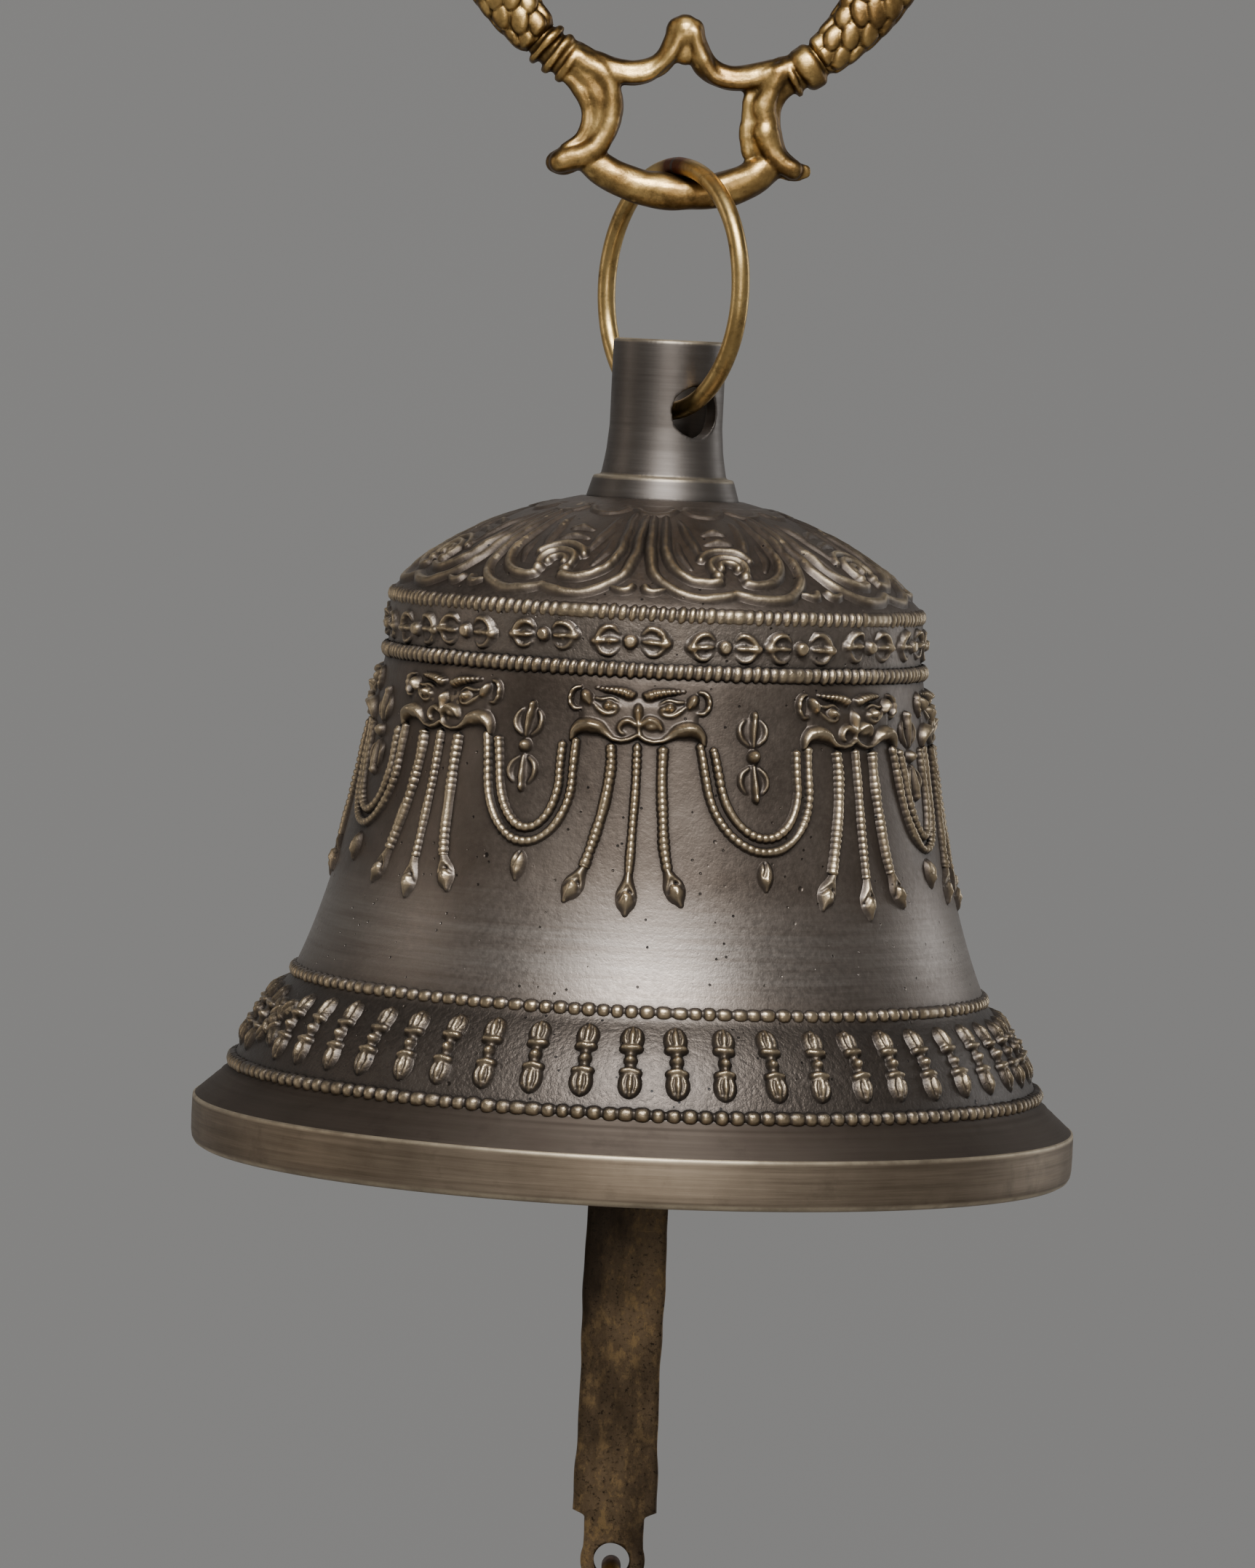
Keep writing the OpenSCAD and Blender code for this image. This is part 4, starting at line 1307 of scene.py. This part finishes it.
def tube(points, radii, flat=1.0, sides=20, steps=8):
    """Verts and faces of a closed round-ended bar through points (x, z) or (x, z, y)."""
    line = smooth_path([(*p, 0.0)[:3] for p in points], steps)
    size = np.interp(np.linspace(0, 1, len(line)), np.linspace(0, 1, len(radii)), radii)
    dome = np.radians([75, 50, 25])
    first, last = line[0] - line[1], line[-1] - line[-2]
    first, last = first / np.linalg.norm(first), last / np.linalg.norm(last)
    line = np.vstack([line[:1] + first * size[0] * np.sin(dome)[:, None], line,
                      line[-1:] + last * size[-1] * np.sin(dome[::-1])[:, None]])
    size = np.concatenate([size[0] * np.cos(dome), size, size[-1] * np.cos(dome[::-1])])
    tangent = np.gradient(line, axis=0)
    tangent /= np.linalg.norm(tangent, axis=1)[:, None]
    path = line[:, [0, 2, 1]]
    side = np.stack([-tangent[:, 1], np.zeros(len(line)), tangent[:, 0]], -1)
    side /= np.linalg.norm(side, axis=1)[:, None]
    deep = np.repeat([[0, 1.0, 0]], len(line), 0)
    pts = sweep_points(path, side, deep, size, size * flat, sides)
    n = len(line)
    verts = np.vstack([pts.reshape(-1, 3), pts[0].mean(0), pts[-1].mean(0)])
    quads = grid_faces(n, sides, wrap_columns=True).tolist()
    fans = [[(k + 1) % sides, k, n * sides] for k in range(sides)]
    fans += [[(n - 1) * sides + k, (n - 1) * sides + (k + 1) % sides, n * sides + 1] for k in range(sides)]
    return verts, quads + fans


def band(places, sizes, flat, sides=28):
    """Verts and faces of a flat-ended bar through points in the XZ plane."""
    line = np.array(places, dtype=float)
    tangent = np.gradient(line, axis=0)
    tangent /= np.linalg.norm(tangent, axis=1)[:, None]
    path = np.stack([line[:, 0], np.zeros(len(line)), line[:, 1]], -1)
    side = np.stack([-tangent[:, 1], np.zeros(len(line)), tangent[:, 0]], -1)
    pts = sweep_points(path, side, np.repeat([[0, 1.0, 0]], len(line), 0), sizes, sizes * flat, sides)
    ends = [list(range(sides))[::-1], list(range((len(line) - 1) * sides, len(line) * sides))]
    return pts.reshape(-1, 3), grid_faces(len(line), sides, wrap_columns=True).tolist() + ends


def fish_angle(t):
    """Angle round the hanger's ring at share t of a fish, from collar to snout."""
    return COLLAR_TURN + (SNOUT_TURN - COLLAR_TURN) * t


def fish_ring(t):
    """Point (x, z) on the hanger's ring, on its left side."""
    a = fish_angle(t)
    return np.array([FISH_R * math.cos(a), FISH_R * math.sin(a) + FISH_CENTRE[2]])


def girth(t):
    """Thickness of a fish along its length, 1 where it is fattest."""
    return 0.42 + 0.58 * np.sin(np.pi * np.clip(t, 0, 1) ** 1.1)


def hanger_frame():
    """Crescent, tail stems, fin lobes, bow bar, collars and the hanging eye, fused like a casting."""
    verts, faces = [], []

    def join(shape):
        """Adds a bar's points and faces to the frame."""
        v, f = shape
        first = sum(len(x) for x in verts)
        verts.append(v)
        faces.extend([[i + first for i in face] for face in f])

    def bar(radii, *places, depth=0.0, **more):
        """A bar through (x, height above the neck's top); with a depth it is made in front and behind."""
        for y in ((-depth, depth) if depth else (0.0,)):
            join(tube([(x, rise(h), y) for x, h in places], radii, **more))

    bar([2.4, 3.0, 3.15, 3.05, 3.1, 3.05, 3.15, 3.0, 2.4], (-16.0, 30.4), (-13.4, 28.9), (-10.5, 27.3),
        (-6, 25.8), (0, 25.1), (6, 25.7), (10.5, 27.2), (13.6, 29.1), (16.2, 30.6), sides=24)
    # left tail: a broad-faced stem with a rolled inner edge, turning out into a rounded lobe
    bar([3.3, 3.5, 3.6, 3.15, 3.0, 2.7, 2.3, 2.0], (-20.4, 47.6), (-16.9, 45.6), (-13.9, 41.9), (-13.4, 37.7),
        (-14.2, 34.4), (-16.6, 31.4), (-19.8, 29.7), (-20.7, 29.6), flat=0.80)
    bar([1.7, 2.0, 1.9, 1.7, 1.9, 2.1, 2.0], (-18.2, 47.6), (-13.9, 45.0), (-12.1, 41.8), (-12.1, 37.6),
        (-13.0, 34.2), (-15.4, 31.3), (-20.2, 29.7), depth=1.5)
    bar([1.0, 1.2, 1.0, 1.0, 1.0], (-20.6, 44.9), (-17.3, 41.6), (-16.0, 37.8), (-16.8, 34.4), (-19.5, 31.6),
        depth=1.2)
    # right tail: a lumpy ridge in front of a thin flange
    bar([3.0, 3.5, 3.4, 3.1, 3.1, 2.6, 1.9, 1.4], (20.2, 47.4), (16.8, 45.6), (14.2, 42.0), (13.8, 38.4),
        (14.4, 34.8), (16.6, 31.6), (20.0, 29.9), (21.4, 29.8), flat=0.62)
    bar([1.8, 2.1, 1.8, 2.1, 1.7, 2.15, 1.8, 1.95, 1.8], (17.9, 47.2), (16.4, 46.2), (15.1, 43.4),
        (14.1, 40.6), (14.7, 38.0), (14.6, 36.2), (15.8, 33.6), (17.4, 31.2), (19.6, 30.0), depth=1.3)
    bar([1.0, 1.2, 1.1, 1.3, 1.1], (12.6, 45.0), (11.4, 41.6), (11.3, 38.0), (11.2, 35.2), (11.7, 32.4),
        depth=0.5)
    # cupid's bow: two arms with a bright ridge along their lower edge, rising into a rounded nub
    bar([2.4, 2.35, 2.15, 2.1, 2.05, 2.0, 1.85, 1.85], (-15.6, 46.4), (-12.0, 45.6), (-8.6, 45.3),
        (-5.9, 46.0), (-3.7, 47.4), (-2.3, 49.6), (-1.6, 51.8), (-1.5, 53.4), flat=1.1)
    bar([1.3, 1.3, 1.2, 1.25, 1.2, 1.2, 1.1], (-13.6, 46.0), (-11, 44.9), (-8.4, 44.5), (-5.6, 45.3),
        (-3.4, 47.2), (-1.5, 49.9), (-0.7, 52.6), depth=1.5)
    bar([2.4, 2.35, 2.15, 2.1, 2.05, 2.0, 1.85, 1.85], (15.6, 46.4), (12.0, 45.4), (8.6, 45.1), (5.9, 45.8),
        (3.8, 47.2), (2.4, 49.6), (1.7, 51.8), (1.6, 53.3), flat=1.1)
    bar([1.4, 1.3, 1.2, 1.25, 1.25, 1.1, 1.1], (15.4, 46.6), (12.4, 44.9), (8.2, 44.4), (5.4, 45.5),
        (3.7, 47.8), (2.3, 50.4), (1.7, 52.8), depth=1.5)
    bar([2.0, 2.1, 2.6, 2.75], (0, 49.0), (0, 50.4), (0, 51.8), (0, 53.0), steps=4)
    # collar bands where a stem runs into its fish
    bands = ((-1, -0.028, 3.85, 0.60), (-1, 0.009, 4.10, 1.75), (1, -0.016, 3.95, 0.75),
             (1, 0.013, 4.10, 0.75), (1, 0.042, 4.25, 0.75))
    for side, t, size, half in bands:
        a = fish_angle(t)
        along_ring = np.array([math.sin(a), -math.cos(a)])
        reach = np.linspace(-1, 1, 7)
        places = [fish_ring(t) + along_ring * half * k for k in reach]
        join(band([(side * x, z) for x, z in places], size * (1 - 0.14 * reach**6), 0.88))
    for side in (1, -1):
        places = [fish_ring(t) for t in (-0.02, 0.02, 0.06, 0.10)]
        join(tube([(side * x, z) for x, z in places], [3.1] * 4, flat=0.86, steps=4))
    # hanging eye as a thick ring, with small throat webs towards the snouts
    eye_turns = np.linspace(0, 2 * math.pi, 40)
    ring_r = 7.0
    ring = [(ring_r * math.sin(a), ring_r * math.cos(a)) for a in eye_turns]
    join(band(ring, np.full(len(ring), 2.35), 1.85))
    for side in (1, -1):
        bar([3.2, 3.0, 2.0], (side * 9.0, 112.6), (side * 6.0, 114.6), (side * 4.5, 115.8), flat=1.2, steps=4)
    piece = placed("hanger_frame", mesh_of("hanger_frame", np.vstack(verts), faces))
    fuse(piece, 0.30, 4)
    co = np.empty(len(piece.data.vertices) * 3)
    no = np.empty(len(piece.data.vertices) * 3)
    piece.data.vertices.foreach_get("co", co)
    piece.data.vertices.foreach_get("normal", no)
    p, n = co.reshape(-1, 3) / MM, no.reshape(-1, 3)
    lumpy = 0.24 * wobble(61, 5.0, *p.T) + 0.12 * wobble(62, 2.2, *p.T) + 0.045 * wobble(63, 1.0, *p.T)
    p = p + n * lumpy[:, None]
    piece.data.vertices.foreach_set("co", (p * MM).ravel())
    piece.data.update()
    finish_piece(piece, GOLD, "hanger", ("fish_hanger",))


def fish(side, name):
    """One scaled fish along the hanger's ring, tail at the collar, snout at the eye."""
    stations, sides = 380, 150
    start = 0.034 if side > 0 else 0.058
    t = np.linspace(start, 1.0, stations)
    angle = fish_angle(t)
    out = np.stack([np.cos(angle), np.zeros(stations), np.sin(angle)], -1)
    path = FISH_CENTRE + out * FISH_R
    deep = np.repeat([[0, 1.0, 0]], stations, 0)
    # the tail end tucks under its collar and the snout rounds off
    tuck = 0.86 + 0.14 * np.clip((t - start) / 0.012, 0, 1)
    nose = np.sqrt(np.clip(1 - np.clip((t - 0.93) / 0.075, 0, 1) ** 2, 0.01, 1))
    half = (8.0 * girth(t) - 0.25) * nose * tuck
    thick = (5.5 * (0.25 + 0.75 * girth(t)) - 0.2) * nose * tuck
    T, P = np.meshgrid(t, round_turns(sides), indexing="ij")
    length = (COLLAR_TURN - SNOUT_TURN) * FISH_R
    y = np.cos(P) * half[:, None]
    flank = np.abs(np.sin(P))
    body = np.clip((T - start) / 0.008, 0, 1) * np.clip((0.70 - T) / 0.02, 0, 1)
    high = scales(T * length + 0.42 * y, P / (2 * math.pi), girth(T)) * body * np.clip(flank * 1.7, 0.12, 1)
    # gill cover, eyes and mouth, on both flat sides
    head = np.clip((T - 0.70) / 0.015, 0, 1)
    x = (T - 0.74) * length
    gill = 0.55 * np.exp(-((x + 0.25 + 0.03 * y**2) / 0.55) ** 2) * np.clip(flank * 3 - 0.6, 0, 1)
    gill2 = 0.35 * np.exp(-((x - 1.6 + 0.03 * y**2) / 0.45) ** 2) * np.clip(flank * 3 - 0.6, 0, 1)
    d = np.hypot((T - 0.86) * length, y - 1.2)
    eye = (1.1 * np.clip(1 - (d / 1.7) ** 2, 0, 1) ** 0.6 - 0.35 * np.exp(-((d - 2.1) / 0.4) ** 2)
           + 0.3 * np.exp(-((d - 2.9) / 0.5) ** 2))
    eye = np.where(flank > 0.3, eye, 0)
    mouth_x = (T - 0.965) * length
    mouth = -0.45 * np.exp(-((y + 0.2 - 0.15 * mouth_x) / 0.35) ** 2) * np.clip((T - 0.93) / 0.02, 0, 1)
    high = high + head * (gill + gill2 + eye + mouth + 0.10 * wobble(65 + side, 2.2, x, y))
    # a low rayed fin along the back (outer edge) and a short one on the belly
    rays = 1 + 0.07 * np.sin(T * length * 2 * math.pi / 1.9)
    turn = np.minimum(P, 2 * math.pi - P)
    fins = 0
    for size, off, first, long in ((2.3, turn, 0.30, 0.36), (1.5, P - math.pi, 0.38, 0.16)):
        rise_and_fall = np.clip(np.sin(math.pi * np.clip((T - first) / long, 0, 1)), 0, 1) ** 0.7
        fins = fins + size * np.exp(-((off / 0.17) ** 2)) * rise_and_fall
    fins = fins * rays
    # pectoral fin fanned over the flank behind the gill
    px = (0.70 - T) * length
    fan = np.hypot(px, (y - 0.6) * 1.15)
    spread = np.arctan2(y - 0.6, np.maximum(px, 1e-3))
    reach = np.clip((8.5 - fan) / 0.8, 0, 1) * np.clip((0.62 - np.abs(spread)) / 0.10, 0, 1)
    reach = reach * np.clip(px / 0.6, 0, 1)
    high = np.maximum(high, np.where(flank > 0.3, reach * (0.80 + 0.22 * np.cos(spread * 26)), 0))
    a = y + (high + fins) * np.cos(P)
    b = (thick[:, None] + high) * np.sin(P)
    pts = path[:, None] + out[:, None] * a[..., None] + deep[:, None] * b[..., None]
    pts[..., 0] *= -side
    faces = grid_faces(stations, sides, wrap_columns=True)
    piece = make_mesh(name, pts.reshape(-1, 3), faces, GOLD, "hanger")
    close_ends(piece)


def scales(along, turn, girth_here):
    """Long rounded scales laid across the body like strands, free ends to the tail.

    along is in mm; turn is the share of the way round."""
    pitch, count = 3.2, 7
    best = np.zeros(along.shape)
    row = np.floor(along / pitch)
    for shift in (-1, 0, 1, 2):
        k = row + shift
        centre = k * pitch + 0.3 * np.sin(k * 12.9)
        offset = np.mod(k, 2) * 0.5 + 0.09 * np.sin(k * 5.3)
        j = np.round(turn * count - offset)
        wide = np.maximum(girth_here * 42.0 / count, 2.6)
        seed = k * 7.1 + np.mod(j, count) * 3.7
        y = (turn * count - offset - j) * wide + 0.2 * np.sin(seed)
        size = 1 + 0.14 * np.sin(seed * 1.7)
        x = along - centre - 0.35 * np.sin(seed * 2.3)
        d = np.hypot(x / 2.2, y / (0.60 * wide)) / size
        lobe = np.sqrt(np.clip(1 - d**2, 0, 1)) * np.clip(0.78 - x / 5.0, 0.3, 1.25)
        best = np.maximum(best, lobe)
    return best * 0.95


# ---------------------------------------------------------------- carried-over CAD pieces


def dress_cad_nodes():
    """Materials for the pieces that come straight from the CAD."""
    for name, metal in (("eye_bolt", STEEL), ("crown_washer", STEEL), ("crown_nut", STEEL),
                        ("ball_rivet", WIRE)):
        materials = frame["nodes"][name].data.materials
        materials.clear()
        materials.append(metal)


# ---------------------------------------------------------------- floor, light, camera


def floor():
    """Round pale matt ground well below the hanging bell; it fades out at its edge and is open from below."""
    size, below = 1.9, 0.62
    mesh = bpy.data.meshes.new("floor")
    bm = bmesh.new()
    bmesh.ops.create_circle(bm, cap_ends=True, segments=96, radius=size)
    bm.to_mesh(mesh)
    bm.free()
    ground = placed("floor", mesh)
    ground.location = (0, 0, CAD_BOX[0][2] - below)
    m = Surface("pale_floor")
    colour = m.blend(m.noise(3.0, 3.0, 0.5), (0.36, 0.357, 0.35), (0.38, 0.376, 0.37))
    reach = m.node("ShaderNodeVectorMath", operation="LENGTH")
    m.put(m.coords, reach.inputs[0])
    top_side = m.maths("SUBTRACT", 1.0, m.geometry["Backfacing"])
    fade = m.span(reach.outputs["Value"], size * 0.95, size * 0.35)
    mesh.materials.append(m.material)
    m.finish(colour, 0.0, 0.9, Specular_IOR_Level=0.1, Alpha=m.times(fade, top_side))


def world():
    """Even grey all round, darker overhead."""
    studio = bpy.data.worlds.new("studio")
    bpy.context.scene.world = studio
    studio.use_nodes = True
    paint = Paint(studio.node_tree)
    way = paint.node("ShaderNodeTexCoord").outputs["Generated"]
    height = paint.span(paint.part(way, "Z"), 0.22, 0.55)
    side = paint.span(paint.part(way, "X"), -0.20, 0.20)
    level = paint.blend(side, (0.242, 0.239, 0.233), (0.216, 0.213, 0.209))
    background = paint.tree.nodes["Background"]
    paint.put(paint.blend(height, level, (0.085, 0.085, 0.086)), background.inputs["Color"])
    background.inputs["Strength"].default_value = 1.0


LIT_HEIGHT = -0.215


def area_light(name, azimuth, elevation, distance, width, height, power, colour=(1, 1, 1)):
    """A softbox aimed at the bell's middle; azimuth is from the front, positive to the right of the view."""
    a, e = math.radians(azimuth), math.radians(elevation)
    way = Vector((math.sin(a) * math.cos(e), -math.cos(a) * math.cos(e), math.sin(e)))
    data = bpy.data.lights.new(name, "AREA")
    data.shape = "RECTANGLE"
    data.size, data.size_y = width, height
    data.energy = power
    data.color = colour
    lamp = placed(name, data)
    lamp.location = Vector((0, 0, LIT_HEIGHT)) + way * distance
    lamp.rotation_euler = (-way).to_track_quat("-Z", "Y").to_euler()


def lights():
    """A broad key from above the camera, low fill, a warm wall to the left and cooler light behind."""
    area_light("key", 3, 47, 1.5, 0.75, 0.30, 36, (0.92, 0.96, 1.0))
    area_light("left_wall", -88, 10, 1.6, 0.30, 1.2, 1.8, (1.0, 0.93, 0.85))
    area_light("front_low", 2, 3, 1.9, 0.70, 0.4, 3.6, (1.0, 0.95, 0.88))
    area_light("right_back", 124, 10, 1.6, 0.3, 1.0, 3.4, (0.90, 0.95, 1.0))
    area_light("rear", 190, 38, 1.8, 1.0, 0.5, 0.9)


def camera():
    """Level with the top of the neck, a little over 1.3 m away, pitched slightly down."""
    distance, aside = 1.3125, -0.003657
    pitch, roll = math.radians(3.3475), math.radians(2.75)
    data = bpy.data.cameras.new("camera")
    data.sensor_width = 36.0
    data.lens = 174.99
    cam = placed("camera", data)
    cam.location = (aside, -distance, NECK_TOP * MM)
    turn = Matrix.Rotation(math.pi / 2 - pitch, 4, "X") @ Matrix.Rotation(roll, 4, "Z")
    cam.rotation_euler = turn.to_euler()
    bpy.context.scene.camera = cam


camera()
world()
lights()
floor()
bell_shell()
bead_rows()
ornament()
bell_neck()
rings()
clapper_bar()
striking_ball()
hanger_frame()
fish(1, "left_fish")
fish(-1, "right_fish")
dress_cad_nodes()
